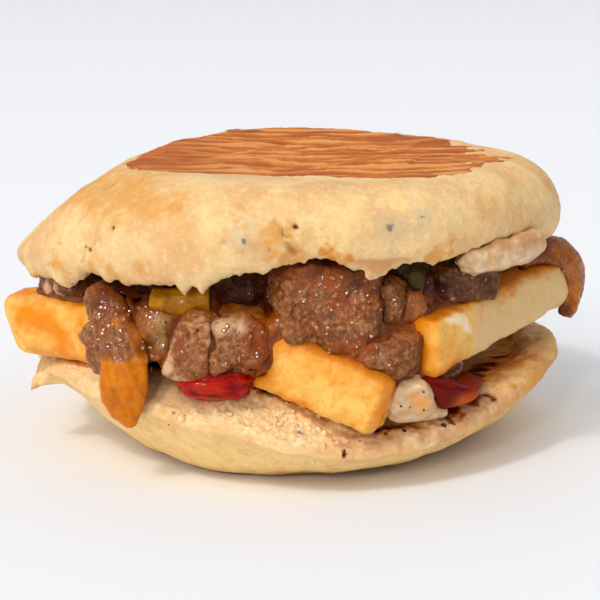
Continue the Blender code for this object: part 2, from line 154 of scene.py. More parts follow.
def lumps(points, size, seed, octaves=3):
    """Smooth noise of about -1 to 1 at each point, in lumps about size mm across."""
    places = (points / size + np.array([7.3, 3.1, 11.7]) * seed).tolist()
    return np.array([noise.fractal(place, 0.9, 2.1, octaves) for place in places])


def near_line(points, line):
    """Each point's distance to a bent line, and how far along the line its nearest place is, from 0 to 1."""
    line = np.array(line, float)
    apart = np.full(len(points), np.inf)
    place = np.zeros(len(points))
    for i, (a, b) in enumerate(zip(line, line[1:])):
        along = np.clip((points - a) @ (b - a) / ((b - a) @ (b - a)), 0, 1)
        here = np.linalg.norm(points - a - along[:, None] * (b - a), axis=1)
        closer = here < apart
        apart = np.where(closer, here, apart)
        place = np.where(closer, (i + along) / (len(line) - 1), place)
    return apart, place


def spots(points, places, ragged=0.5, seed=1):
    """How deep each point lies in the nearest of some spots (x, y, z, radius): 0 outside, 1 in the middle."""
    apart = np.array([np.linalg.norm(points - place[:3], axis=1) / place[3] for place in places]).min(0)
    return frayed(points, apart, ragged, seed)


def runs(points, lines, ragged=0.5, seed=1):
    """How deep each point lies in the nearest of some runs (radius, bent line): 0 outside, 1 along the line."""
    apart = np.array([near_line(points, line)[0] / width for width, line in lines]).min(0)
    return frayed(points, apart, ragged, seed)


def frayed(points, apart, ragged, seed):
    """Turns distances, as shares of a stain's radius, into its depth from 0 to 1, with an edge of that raggedness."""
    near = apart < 2.5
    depth = np.zeros(len(points))
    warp = 1 + ragged * (lumps(points[near], 4.0, seed, 3) + 0.6 * lumps(points[near], 1.6, seed + 1, 2))
    depth[near] = 1 - apart[near] * np.clip(warp, 0.4, None)
    return np.clip(depth, 0, 1)


def grid_mesh(name, grid):
    """A closed mesh through grid[angle, station] in mm, its stations from the middle of the top to the bottom."""
    turns, stations = grid.shape[:2]
    n, m = np.meshgrid(np.arange(turns), np.arange(stations - 1), indexing="ij")
    ahead = (n + 1) % turns
    corners = (n * stations + m, n * stations + m + 1, ahead * stations + m + 1, ahead * stations + m)
    faces = np.stack(corners, -1).reshape(-1, 4).tolist()
    ring = np.arange(turns)
    after = (ring + 1) % turns
    top, bottom = turns * stations, turns * stations + 1
    faces += [[top, a, b] for a, b in zip((ring * stations).tolist(), (after * stations).tolist())]
    last = stations - 1
    faces += [[bottom, b, a] for a, b in zip((ring * stations + last).tolist(), (after * stations + last).tolist())]
    middles = [grid[:, 0].mean(0), grid[:, -1].mean(0)]
    mesh = bpy.data.meshes.new(name)
    mesh.from_pydata((np.vstack([grid.reshape(-1, 3), middles]) * MM).tolist(), [], faces)
    mesh.shade_smooth()
    return mesh


def places_of(mesh):
    """The mesh's points in mm."""
    flat = np.empty(len(mesh.vertices) * 3, np.float32)
    mesh.vertices.foreach_get("co", flat)
    return flat.reshape(-1, 3).astype(float) / MM


def outward_of(mesh):
    """The way out of the mesh at each of its points."""
    flat = np.empty(len(mesh.vertices) * 3, np.float32)
    mesh.vertex_normals.foreach_get("vector", flat)
    return flat.reshape(-1, 3)


def push_out(mesh, distance):
    """Moves the mesh's points out along their normals, by one distance in mm or by one for each point."""
    moved = places_of(mesh) + outward_of(mesh) * np.broadcast_to(distance, len(mesh.vertices))[:, None]
    mesh.vertices.foreach_set("co", (moved * MM).astype(np.float32).ravel())
    mesh.update()


def paint(mesh, **masks):
    """Stores each named mask, one value a point, where the material reads it."""
    for name, values in masks.items():
        layer = mesh.attributes.new(name, "FLOAT", "POINT")
        layer.data.foreach_set("value", np.asarray(values, np.float32))


def feed(tree, made, sockets):
    """Fills a node's sockets with values, or with the outputs that other nodes have in use."""
    for socket, value in sockets.items():
        if isinstance(value, bpy.types.Node):
            value = next(output for output in value.outputs if output.enabled)
        if isinstance(value, bpy.types.NodeSocket):
            tree.links.new(value, made.inputs[socket])
        else:
            made.inputs[socket].default_value = value


def node(tree, kind, inputs=None, **settings):
    """Adds one shader node with its settings, its sockets filled with values or with other nodes' outputs."""
    made = tree.nodes.new("ShaderNode" + kind)
    for name, value in settings.items():
        setattr(made, name, value)
    feed(tree, made, inputs or {})
    return made


def new_material(name, painted=(), **sockets):
    """A material with one Principled shader, the sockets that are the same all over set here.

    With it come its tree, its shader, the place of each point on the object, and the named masks that paint stored.
    """
    material = bpy.data.materials.new(name)
    material.use_nodes = True
    tree = material.node_tree
    shader = tree.nodes["Principled BSDF"]
    feed(tree, shader, {socket.replace("_", " "): value for socket, value in sockets.items()})
    place = node(tree, "TexCoord").outputs["Object"]
    mask = {layer: node(tree, "Attribute", attribute_name=layer).outputs["Fac"] for layer in painted}
    return material, tree, shader, place, mask


def add_piece(name, mesh, material, slot, *nodes):
    """Puts a mesh in the scene as a piece that rides on the sandwich and stands for the given solids.

    Its points are held inside the box that the solids fill.
    """
    held = np.clip(places_of(mesh) * MM, cad_box[0], cad_box[1])
    mesh.vertices.foreach_set("co", held.astype(np.float32).ravel())
    mesh.update()
    piece = bpy.data.objects.new(name, mesh)
    bpy.context.scene.collection.objects.link(piece)
    mesh.materials.clear()
    mesh.materials.append(material)
    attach(piece, "root")
    if nodes:
        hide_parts(*nodes)


def on_grid(angles, columns):
    """Points from columns of (radius, height), each a list over the angles."""
    turns = np.radians(angles)[:, None]
    radius = np.array([column[0] for column in columns]).T
    height = np.array([column[1] for column in columns]).T
    return np.stack([radius * np.cos(turns), radius * np.sin(turns), height], -1)


def crowded_angles(count):
    """Angles round the bread, closer together at the open front than at the back."""
    share = np.arange(count) / count
    return (360 * share - 20 * np.cos(2 * math.pi * share)) % 360


def laid_out(mesh, turns, stations):
    """A bread's points in mm, with the angle, the radius and the station of each."""
    points = places_of(mesh)
    angle = np.degrees(np.arctan2(points[:, 1], points[:, 0])) % 360
    station = np.append(np.tile(np.arange(stations), turns), [0, stations])
    return points, angle, np.hypot(points[:, 0], points[:, 1]), station


upper_angles = crowded_angles(600)
reach = around(TOP_REACH, upper_angles) + 0.6 * wobble(upper_angles, 0.0, 9, 2)
flat = around(TOP_FLAT, upper_angles)
widest = around(TOP_WIDEST, upper_angles)
fullness = 2 / around(SHOULDER_FULLNESS, upper_angles)
hem = around(HEM_HEIGHT, upper_angles) + 0.5 * wobble(upper_angles, 0.0, 30, 1) - tents(upper_angles, HEM_TEARS)
hem += 0.9 * wobble(upper_angles, 2.0, 75, 7) + 0.6 * wobble(upper_angles, 3.0, 190, 8)
TOP_STATIONS = 72
SHOULDER_STATIONS = 34
SIDE_STATIONS = 17
upper_columns = []
for share in np.linspace(0.02, 1.0, TOP_STATIONS) ** 0.8:
    upper_columns.append((flat * share, TOP_HEIGHT - TOP_DISH * (1 - share ** 2) + 0 * flat))
for step in np.linspace(0, math.pi / 2, SHOULDER_STATIONS)[1:]:
    out = math.sin(step) ** fullness
    rise = max(math.cos(step), 0.0) ** fullness
    upper_columns.append((flat + (reach - flat) * out, widest + (TOP_HEIGHT - widest) * rise))
for share in np.linspace(0, 1, SIDE_STATIONS)[1:]:
    tuck = HEM_INSET * (1 - math.sqrt(1 - share ** 2))
    upper_columns.append((reach - tuck, widest + (hem - widest) * share))
UPPER_HEM_STATIONS = len(upper_columns)
for share in (0.15, 0.4, 0.7, 1.0):
    upper_columns.append((reach - HEM_INSET - HEM_THICKNESS * share, hem + HEM_LIFT * share))
for share in (0.2, 0.4, 0.6, 0.8, 1.0):
    inner = (reach - HEM_INSET - HEM_THICKNESS) * (1 - share) + INNER_CUT_RADIUS * share
    upper_columns.append((inner, (hem + HEM_LIFT) * (1 - share) + INNER_CUT_HEIGHT * share))
upper_mesh = grid_mesh("upper_bread", on_grid(upper_angles, upper_columns))

points, angle, radius, station = laid_out(upper_mesh, len(upper_angles), len(upper_columns))
skin = 1 - ramp(station, UPPER_HEM_STATIONS - 3, UPPER_HEM_STATIONS)
on_top = 1 - ramp(station, TOP_STATIONS + 10, TOP_STATIONS + 22)

browned = around(BROWNED_REACH, angle) - radius + around(BROWNED_RAGGED, angle) * lumps(points, 9.0, 3)
browned = np.where(on_top > 0.5, browned * around(BROWNED_SHARPNESS, angle), UNTOUCHED)
# The skin puckered into low ridges about 6 mm apart, which run from left to right and fork
WRINKLE_PITCH = 6.4
bend = 4.4 * lumps(points * (1.0, 1.0, 0.3), 26.0, 12, 1) + 1.6 * lumps(points * (0.5, 1.0, 0.3), 9.0, 14, 2)
swung = points + np.stack([0 * angle, bend, 0 * angle], 1)
furrow = np.sin(2 * math.pi * swung[:, 1] / WRINKLE_PITCH)
forked = lumps(swung * (0.3, 1.0, 0.3), 4.4, 4, 3)
wrinkle = ramp(0.5 * furrow + 1.15 * forked, -0.45, 0.85) * (0.45 + 0.55 * ramp(points[:, 0], -34, -6))
inside = ramp(browned, -0.5, 1.0)

# A crease that runs down the front to the hem, and a dimple where a blister was pulled open
CREASE = ((-3.4, -60.6, 61.0), (-1.6, -61.6, 58.4), (-0.3, -62.1, 55.6), (1.2, -61.6, 52.4))
BLISTERS = ((-42.9, -47.0, 51.1, 1.3), (-44.0, -46.0, 51.6, 0.9), (-40.0, -33.0, 62.6, 0.9), (-38.9, -33.8, 62.9, 1.1),
            (-37.1, -50.4, 56.3, 0.8), (1.4, -61.9, 58.5, 0.7), (-3.9, -61.9, 53.8, 0.7), (-25.9, -57.0, 60.4, 0.6),
            (-18.0, -57.6, 62.6, 0.5), (12.0, 60.0, 57.0, 1.4), (-30.0, 52.6, 56.0, 1.1), (58.0, 24.0, 55.0, 1.2))
HERBS_ON_TOP = ((20.8, -59.3, 57.9, 0.8), (-9.3, -61.7, 55.6, 0.5), (27.7, -56.5, 59.7, 0.4), (20.2, -60.6, 56.6, 0.5),
                (21.6, -59.6, 58.4, 0.6))
HERB_HALO = ((20.8, -59.3, 57.9, 4.2), (-9.0, -61.7, 54.6, 6.0), (27.7, -56.5, 59.7, 4.0))
GOLDEN_SHOULDER = {0: 0.3, 60: 0.6, 120: 0.6, 180: 0.75, 205: 1.0, 228: 1.15, 243: 0.7, 256: 0.3, 300: 0.12, 330: 0.35}
HEM_GOLD = ((-36.0, -49.5, 46.0, 7.0), (-41.0, -46.5, 47.0, 6.0), (-4.0, -61.5, 56.0, 8.0), (0.5, -61.5, 52.5, 5.0),
            (-50.0, -39.0, 46.0, 4.5), (30.0, -53.5, 51.5, 5.0), (-30.6, -53.0, 48.0, 4.0))
HEM_SAUCE = ((9.6, -60.9, 51.9, 2.9), (12.0, -60.2, 51.4, 2.6), (7.0, -61.0, 52.6, 1.5))
BUTTERY = ((9.0, -60.5, 58.0, 7.0), (13.0, -59.5, 62.0, 6.0), (7.6, -61.0, 54.6, 5.0), (22.0, -56.0, 62.0, 5.0),
           (-16.0, -59.0, 57.0, 6.0), (-50.0, -38.0, 58.0, 8.0))

crease_apart, crease_place = near_line(points + 0.9 * lumps(points, 2.2, 13, 2)[:, None], CREASE)
crease = np.exp(-(crease_apart / 0.9) ** 2) * ramp(crease_place, 0.0, 0.3)
blister = spots(points, BLISTERS, 0.7, 2)
pleats = lumps(np.stack([angle * 1.08, points[:, 2] * 0.22, 0 * angle], 1), 7.0, 6, 2)
lower_skin = 1 - ramp(points[:, 2], 50, 61)
shift = 0.7 * lumps(points, 15.0, 5, 2) + 0.2 * lumps(points, 3.0, 6) + 0.07 * lumps(points, 1.0, 7, 2)
shift += 0.75 * pleats * lower_skin * skin * ramp(radius, 52, 58)
shift += inside * (0.55 * (wrinkle - 0.4) + 0.1 * lumps(points, 1.8, 8))
shift -= 0.6 * crease + 0.5 * ramp(blister, 0.1, 0.7)
shift += (1 - skin) * 0.55 * lumps(points, 1.6, 9)
# The tan inner layer that hangs lower than the skin in front is set back from it
flap = np.clip(tents(angle, ((288.0, 7.6, 1.6),)), 0, 1) * ramp(points[:, 2], 51.6, 50.6)
shift -= 1.0 * flap * skin
shift = np.where(points[:, 2] > 65.5, np.minimum(shift, 0.0), shift)
push_out(upper_mesh, shift)

golden = around(GOLDEN_SHOULDER, angle) * ramp(points[:, 2], 53, 62) * (1 - 0.5 * ramp(points[:, 2], 63, 65.8))
golden = np.maximum(golden, 0.85 * ramp(spots(points, HEM_GOLD, 0.8, 3), 0, 0.8))
golden = np.maximum(golden, 0.55 * flap)
golden = np.clip(golden + 0.35 * lumps(points, 8.0, 11), 0, 1)
paint(upper_mesh,
      browned=browned,
      wrinkle=wrinkle,
      golden=golden,
      torn=np.maximum(1 - skin, 0.0),
      flap=flap,
      soaked=np.zeros(len(points)),
      warm=0.6 * ramp(spots(points, BUTTERY, 0.6, 14), 0.0, 0.8),
      oily=ramp(spots(points, HEM_SAUCE, 0.8, 4), 0.0, 0.6),
      scorched=np.maximum(ramp(blister, 0.25, 0.9), 0.45 * ramp(crease, 0.3, 1.0) * ramp(crease_place, 0.1, 0.4)),
      herb=ramp(spots(points, HERBS_ON_TOP, 0.6, 5), 0.0, 0.5),
      halo=ramp(spots(points, HERB_HALO, 0.8, 6), 0.0, 0.9),
      grime=np.zeros(len(points)))

# Griddled flatbread: wheat dough with a dry floured skin. Matt cream with golden and orange-brown patches where the
# hot plate touched it. Its wrinkles are painted lighter on the ridges, a painted highlight, and darker in the hollows,
# a painted shade. Torn places show the open crumb.
bread, tree, shader, place, mask = new_material(
    "griddled_flatbread",
    ("browned", "wrinkle", "golden", "torn", "flap", "soaked", "warm", "oily", "scorched", "herb", "halo", "grime"),
    Roughness=0.6, IOR=1.4, Specular_IOR_Level=0.15, Subsurface_Weight=0.15, Subsurface_Radius=(1.0, 0.45, 0.2),
    Subsurface_Scale=1.5 * MM)
DOUGH_BLOTCH = 11.0
DOUGH_MOTTLE = 2.6
CRUMB_GRAIN = 1.1
FLOUR_GRAIN = 0.45
blotch = node(tree, "TexNoise", {"Vector": place, "Scale": 1 / (DOUGH_BLOTCH * MM), "Detail": 3.0})
mottle = node(tree, "TexNoise", {"Vector": place, "Scale": 1 / (DOUGH_MOTTLE * MM), "Detail": 4.0, "Roughness": 0.6})
grain = node(tree, "TexNoise", {"Vector": place, "Scale": 1 / (CRUMB_GRAIN * MM), "Detail": 4.0, "Roughness": 0.65})
flour = node(tree, "TexNoise", {"Vector": place, "Scale": 1 / (FLOUR_GRAIN * MM), "Detail": 2.0})
pale = node(tree, "MapRange", {"Value": blotch, "From Min": 0.38, "From Max": 0.64}, interpolation_type="SMOOTHSTEP")
freckle = node(tree, "MapRange", {"Value": mottle, "From Min": 0.46, "From Max": 0.7, "To Max": 0.5})
dust = node(tree, "MapRange", {"Value": grain, "From Min": 0.5, "From Max": 0.72, "To Max": 0.35})
gold = node(tree, "MapRange", {"Value": node(tree, "Math", {0: mask["golden"], 1: mottle}, operation="MULTIPLY"),
                               "From Min": 0.05, "From Max": 0.55, "To Max": 0.95}, interpolation_type="SMOOTHSTEP")
tan_layer = node(tree, "Math", {0: mask["flap"], 1: 0.75}, operation="MULTIPLY")
colour = node(tree, "Mix", {0: pale, 6: linear("#F0CC90"), 7: linear("#E6B57A")}, data_type="RGBA")
# On the lower bread, warm is painted light: its underside is painted lighter and warmer to lift the shade there
for share, shade in ((mask["warm"], "#FFD88E"), (freckle, "#E4AE70"), (dust, "#FFF0CE"), (gold, "#E0A054"),
                     (tan_layer, "#D5A06C")):
    colour = node(tree, "Mix", {0: share, 6: colour, 7: linear(shade)}, data_type="RGBA")
pore = node(tree, "MapRange", {"Value": grain, "From Min": 0.34, "From Max": 0.54})
crumb = node(tree, "Mix", {0: pore, 6: linear("#EEB56C"), 7: linear("#FFE3AE")}, data_type="RGBA")
damp = node(tree, "MapRange", {"Value": blotch, "From Min": 0.52, "From Max": 0.7, "To Max": 0.35})
crumb = node(tree, "Mix", {0: damp, 6: crumb, 7: linear("#F0AE5C")}, data_type="RGBA")
colour = node(tree, "Mix", {0: mask["torn"], 6: colour, 7: crumb}, data_type="RGBA")
edge = node(tree, "Math", {0: mask["browned"], 1: node(tree, "Math", {0: mottle, 1: 0.5}, operation="SUBTRACT")},
            operation="ADD")
browned_here = node(tree, "MapRange", {"Value": edge, "From Min": -0.3, "From Max": 0.5},
                    interpolation_type="SMOOTHSTEP")
toast = node(tree, "MapRange", {"Value": blotch, "From Min": 0.36, "From Max": 0.62})
brown = node(tree, "Mix", {0: toast, 6: linear("#BC6226"), 7: linear("#CE7A38")}, data_type="RGBA")
# Painted highlight on the wrinkle ridges, and below it painted shade in the hollows between them
ridge = node(tree, "MapRange", {"Value": mask["wrinkle"], "From Min": 0.35, "From Max": 1.0, "To Max": 0.85},
             interpolation_type="SMOOTHSTEP")
brown = node(tree, "Mix", {0: ridge, 6: brown, 7: linear("#E8A058")}, data_type="RGBA")
hollow_shade = node(tree, "MapRange", {"Value": mask["wrinkle"], "From Min": 0.25, "From Max": 0.0, "To Max": 0.55})
brown = node(tree, "Mix", {0: hollow_shade, 6: brown, 7: linear("#9C4414")}, data_type="RGBA")
colour = node(tree, "Mix", {0: browned_here, 6: colour, 7: brown}, data_type="RGBA")
rim_near = node(tree, "Math", {0: edge, 1: 0.35}, operation="SUBTRACT")
rim_near = node(tree, "MapRange", {"Value": node(tree, "Math", {0: rim_near}, operation="ABSOLUTE"),
                                   "From Min": 0.5, "From Max": 0.1, "To Max": 0.6})
soiled = node(tree, "Math", {0: mask["grime"], 1: node(tree, "MapRange", {"Value": mottle, "From Min": 0.35,
                             "From Max": 0.65, "To Min": 0.25})}, operation="MULTIPLY")
oil = node(tree, "Math", {0: mask["oily"], 1: node(tree, "MapRange", {"Value": mottle, "From Min": 0.3,
                          "From Max": 0.6, "To Min": 0.35})}, operation="MULTIPLY")
sauce_edge = node(tree, "MapRange", {"Value": mask["soaked"], "From Min": 0.02, "From Max": 0.35},
                  interpolation_type="SMOOTHSTEP")
sauce_deep = node(tree, "MapRange", {"Value": mask["soaked"], "From Min": 0.3, "From Max": 0.75},
                  interpolation_type="SMOOTHSTEP")
grey = node(tree, "Math", {0: mask["halo"], 1: 0.3}, operation="MULTIPLY")
leaf = node(tree, "Math", {0: mask["herb"], 1: 0.8}, operation="MULTIPLY")
burn = node(tree, "MapRange", {"Value": mask["scorched"], "From Min": 0.15, "From Max": 0.75})
char = node(tree, "MapRange", {"Value": mask["scorched"], "From Min": 0.8, "From Max": 1.0})
for share, shade in ((rim_near, "#8E4416"), (soiled, "#C8946E"), (oil, "#DA8622"), (sauce_edge, "#B0500C"),
                     (sauce_deep, "#5A1206"), (grey, "#C4BCA4"), (leaf, "#5A6468"), (burn, "#7A3D14"),
                     (char, "#241008")):
    colour = node(tree, "Mix", {0: share, 6: colour, 7: linear(shade)}, data_type="RGBA")
wet = node(tree, "Math", {0: oil, 1: sauce_edge}, operation="MAXIMUM")
shine = node(tree, "MapRange", {"Value": wet, "To Min": 0.62, "To Max": 0.28})
roughest = node(tree, "Mix", {0: mask["torn"], 2: flour, 3: grain})
bump = node(tree, "Bump", {"Height": roughest, "Strength": 0.35, "Distance": 0.35 * MM})
bump = node(tree, "Bump", {"Height": mottle, "Strength": 0.35, "Distance": 0.5 * MM, "Normal": bump})
feed(tree, shader, {"Base Color": colour, "Roughness": shine, "Normal": bump})
add_piece("upper_bread", upper_mesh, bread, "griddled_bread", "bread_top")


# Lower bread
# The other half of the same loaf: a shallow saucer with a browned foot. Its skin shows below the rim, and inside the
# rim the crumb was torn open. It is stained with oil round the filling and burnt in lines at the front right.

FOOT_RADIUS = {0: 37.0, 90: 39.0, 180: 35.0, 205: 35.0, 225: 39.0, 252: 44.0, 290: 38.5, 320: 35.5}
BASE_REACH = {0: 64.4, 60: 62.0, 120: 61.5, 180: 60.5, 225: 60.5, 270: 62.5, 315: 62.5}
RIM_HEIGHT = {0: 21.5, 45: 20.5, 90: 20.0, 135: 20.0, 180: 21.0, 210: 21.5, 225: 20.5, 240: 19.0, 254: 17.5,
              272: 13.0, 284: 11.2, 296: 11.8, 306: 13.5, 325: 18.0, 340: 21.0}
CRUMB_HEIGHT = {0: 18.5, 90: 20.0, 180: 19.5, 230: 22.5, 252: 23.5, 268: 19.5, 284: 14.8, 306: 16.5, 330: 18.0}
UNDERSIDE_POWER = {0: 1.9, 90: 1.9, 180: 1.35, 205: 1.3, 230: 1.6, 270: 1.9, 305: 2.0, 330: 2.1}
LIP_DEPTH = 3.0
# A torn strand of the rim hangs down clear of the underside: how far out and down its tip is
STRAND_PRONGS = ((200.0, 4.8, 0.85), (199.4, 1.5, 0.2), (203.2, 1.6, 0.3), (196.6, 1.2, 0.2))
STRAND_OUT = 3.6
STRAND_DROP = 5.6
UNDERSIDE_START = 0.86
# How open the crumb is inside the rim
CRUMBLY = {0: 0.35, 45: 0.8, 90: 0.9, 150: 0.8, 190: 0.85, 210: 0.8, 224: 0.45, 246: 0.3, 255: 0.75, 262: 0.95,
           285: 0.9, 297: 0.6, 312: 0.5, 325: 0.4}

lower_angles = crowded_angles(580)
strand = tents(lower_angles, STRAND_PRONGS)
reach = around(BASE_REACH, lower_angles) + 0.6 * wobble(lower_angles, 5.0, 9, 3)
rim = around(RIM_HEIGHT, lower_angles) + 0.7 * wobble(lower_angles, 5.0, 26, 4)
shoulder = around(CRUMB_HEIGHT, lower_angles) + 0.9 * wobble(lower_angles, 6.0, 22, 5)
rim += 0.35 * wobble(lower_angles, 7.0, 90, 6)
tip_reach = reach + STRAND_OUT * strand
tip_rim = rim - STRAND_DROP * strand
corners = [(38 + 0 * rim, 16 + 0 * rim), (43 + 0 * rim, 16.5 + 0 * rim), (0.76 * reach, shoulder - 0.2),
           (0.82 * reach, shoulder - 0.1), (0.89 * reach, 0.45 * shoulder + 0.55 * rim + 0.6),
           (tip_reach - 2.6, tip_rim + 0.1), (tip_reach - 0.6, tip_rim - 0.5), (tip_reach, tip_rim - LIP_DEPTH)]
INNER_STATIONS = 50
RIM_STATION = 42
UNDERSIDE_STATIONS = 44
LOW_STATION = 70
FOOT_STATIONS = 16
corner_places = [0, 5, 8, 14, 24, 36, 43, INNER_STATIONS]
inner = np.array([[np.interp(np.arange(INNER_STATIONS + 1), corner_places, [corner[axis][i] for corner in corners])
                   for axis in (0, 1)] for i in range(len(lower_angles))])
for softening in range(10):
    inner[:, :, 1:-1] = 0.5 * inner[:, :, 1:-1] + 0.25 * (inner[:, :, :-2] + inner[:, :, 2:])
lower_columns = [(inner[:, 0, i], inner[:, 1, i]) for i in range(INNER_STATIONS)]
foot = around(FOOT_RADIUS, lower_angles)
power = around(UNDERSIDE_POWER, lower_angles)
for share in np.linspace(1.0, 0.0, UNDERSIDE_STATIONS):
    hang = strand * max(share - UNDERSIDE_START, 0.0) / (1.0 - UNDERSIDE_START)
    lower_columns.append((foot + (reach - foot) * share + STRAND_OUT * hang,
                          (rim - LIP_DEPTH) * share ** power - STRAND_DROP * hang))
for share in np.linspace(1.0, 0.04, FOOT_STATIONS)[1:]:
    lower_columns.append((foot * share, 0 * foot))
lower_mesh = grid_mesh("lower_bread", on_grid(lower_angles, lower_columns))

points, angle, radius, station = laid_out(lower_mesh, len(lower_angles), len(lower_columns))
over_rim = station + 7 * lumps(points, 5.0, 21) + 3 * lumps(points, 1.6, 22)
torn = (1 - ramp(over_rim, RIM_STATION - 2, RIM_STATION + 7)) * around(CRUMBLY, angle)
torn = np.clip(torn * (1 + 0.5 * lumps(points, 6.0, 23)), 0, 1)
shift = 0.45 * lumps(points, 14.0, 24, 2) + 0.12 * lumps(points, 3.0, 25) + 0.04 * lumps(points, 0.9, 26, 2)
shift += torn * (0.7 * lumps(points, 3.2, 27, 3) + 0.55 * np.abs(lumps(points, 1.3, 28, 2)))

CHAR_LINES = (((18.6, -54.2, 12.9), (22.6, -52.3, 13.6), (26.0, -51.2, 13.9)),
              ((27.6, -51.6, 13.7), (31.4, -50.7, 14.2), (34.0, -49.6, 14.6)),
              ((34.6, -46.6, 16.0), (37.0, -45.0, 16.2)),
              ((41.6, -39.6, 17.4), (43.4, -39.8, 17.4), (45.6, -41.4, 16.4)))
CHAR_SPOTS = ((11.6, -60.9, 10.4, 0.7), (11.8, -61.0, 9.6, 0.7), (31.0, -52.6, 12.8, 0.6),
              (15.0, -57.6, 11.6, 0.6), (60.0, -20.0, 18.6, 0.8),
              (-24.6, -56.4, 17.6, 0.5), (-14.5, -57.4, 17.2, 0.5), (-30.0, 50.0, 20.0, 1.2),
              (20.0, 57.0, 19.0, 1.3), (-56.0, 12.0, 20.0, 1.2))
GRIME_SPOTS = ((13.0, -57.7, 11.8, 5.5), (17.3, -57.0, 11.6, 5.0), (22.0, -55.0, 12.4, 5.5), (28.0, -53.4, 12.8, 5.5),
               (34.0, -51.0, 13.6, 6.5), (40.0, -46.0, 15.2, 6.0), (44.0, -42.0, 16.0, 6.0), (6.6, -54.4, 14.6, 3.0))
OIL_SPOTS = ((-0.8, -51.0, 18.5, 3.0), (2.8, -51.4, 17.0, 2.2), (-8.0, -50.0, 19.6, 2.6),
             (20.7, -51.9, 14.4, 4.4), (26.0, -51.6, 14.4, 4.0), (51.0, -12.5, 18.0, 9.0),
             (53.6, -4.3, 18.6, 8.0), (49.0, -24.0, 18.0, 7.5), (46.0, -31.0, 18.0, 6.0), (52.0, 6.0, 18.6, 8.0),
             (56.0, -22.0, 19.2, 4.0), (-47.0, -30.6, 20.4, 2.6), (4.0, 54.0, 19.0, 6.0), (-40.0, 36.0, 19.0, 6.0))
# Where the red sauce has soaked in round the pool and along the foot of the right-hand chip
SAUCE_SOAK = ((32.0, -46.6, 16.9, 4.5), (35.4, -45.8, 17.2, 4.6), (38.6, -41.0, 17.6, 4.6), (40.0, -34.0, 18.0, 4.8),
              (41.0, -28.0, 18.0, 4.8), (43.0, -22.0, 17.8, 4.4), (46.0, -17.0, 17.8, 3.6), (49.9, -10.0, 17.7, 2.8),
              (25.0, -47.0, 17.0, 4.0))
TOASTED_RIM = {0: 0.45, 60: 0.6, 120: 0.5, 172: 0.5, 190: 0.1, 199: 0.85, 208: 0.1, 235: 0.05, 260: 0.15, 280: 0.25,
               300: 0.35, 325: 0.8, 345: 1.0}
BROWNED_FOOT = {0: 1.0, 90: 2.0, 180: -1.0, 225: -3.0, 250: 1.2, 262: 2.2, 285: -1.0, 320: 0.0}

char = np.zeros(len(points))
for line in CHAR_LINES:
    apart, place_along = near_line(points, line)
    char = np.maximum(char, 1 - apart / (1.5 + 0.9 * lumps(points, 2.0, 31)))
char = np.clip(char + 0.25 * lumps(points, 1.2, 32), 0, 1) * (char > 0.02)
shift -= 0.6 * char
shift = np.where(points[:, 2] < 1.0, np.clip(shift, -0.02, 0.0), shift)
push_out(lower_mesh, shift)

below = ramp(station, RIM_STATION + 2, RIM_STATION + 20)
golden = around(TOASTED_RIM, angle) * (1 - 0.4 * below) + 0.5 * below * ramp(points[:, 2], 5, 1)
golden = np.clip(golden + 0.35 * lumps(points, 8.0, 33), 0, 1)
foot_edge = around(FOOT_RADIUS, angle) + around(BROWNED_FOOT, angle) + 3.0 * lumps(points, 8.0, 34) - radius
paint(lower_mesh,
      browned=np.where((station > LOW_STATION) & (points[:, 2] < 4), foot_edge, UNTOUCHED),
      wrinkle=ramp(lumps(points * (0.3, 1.0, 0.3), 4.4, 35, 2), -0.1, 0.5),
      golden=golden,
      torn=torn,
      flap=np.zeros(len(points)),
      soaked=ramp(spots(points, SAUCE_SOAK, 0.4, 12), 0.0, 0.8) * (1 - below),
      # Painted light: the skin below the rim is painted a lighter, warmer yellow, lifting the shade it lies in
      warm=0.9 * below,
      oily=ramp(spots(points, OIL_SPOTS, 0.6, 7), 0.0, 0.55) * (1 - below),
      scorched=np.maximum(char, ramp(spots(points, CHAR_SPOTS, 0.8, 8), 0.2, 0.8)),
      herb=ramp(spots(points, ((2.4, -58.8, 14.0, 0.9), (3.6, -58.6, 13.8, 0.7)), 0.6, 9), 0.0, 0.5),
      halo=ramp(spots(points, ((2.4, -58.5, 13.8, 4.0),), 0.8, 10), 0.0, 0.9),
      grime=ramp(spots(points, GRIME_SPOTS, 0.5, 11), 0.0, 0.7))
add_piece("lower_bread", lower_mesh, bread, "griddled_bread", "bread_base")


# Chopped filling between the breads
# Small bits of liver and onion in thick gravy, packed tight in the middle. It is seen only in the gaps between the
# larger pieces, where it is wet and knobbly and painted near black as painted shade.

LIVER_KNOB = 5.5
LIVER_GRANULE = 1.7


def evened(mesh, cell, passes):
    """The mesh made again from even faces of cell mm, with its facets smoothed that many times."""
    holder = bpy.data.objects.new("evening", mesh)
    bpy.context.scene.collection.objects.link(holder)
    remesh = holder.modifiers.new("remesh", "REMESH")
    remesh.mode = "VOXEL"
    remesh.voxel_size = cell * MM
    smooth = holder.modifiers.new("smooth", "SMOOTH")
    smooth.factor = 0.5
    smooth.iterations = passes
    even = bpy.data.meshes.new_from_object(holder.evaluated_get(bpy.context.evaluated_depsgraph_get()))
    bpy.data.objects.remove(holder)
    even.shade_smooth()
    return even


def refined(node_name, cell, passes, swell):
    """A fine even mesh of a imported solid, in place, with its skin moved out by swell mm."""
    mesh = evened(frame["nodes"][node_name].data.copy(), cell, passes)
    mesh.name = node_name
    push_out(mesh, swell)
    return mesh


def cells(points, size, seed):
    """Distance to the nearest of scattered centres about size mm apart, as a share of size."""
    places = (points / size + np.array([3.7, 9.1, 5.3]) * seed).tolist()
    return np.array([noise.voronoi(place)[0][0] for place in places])


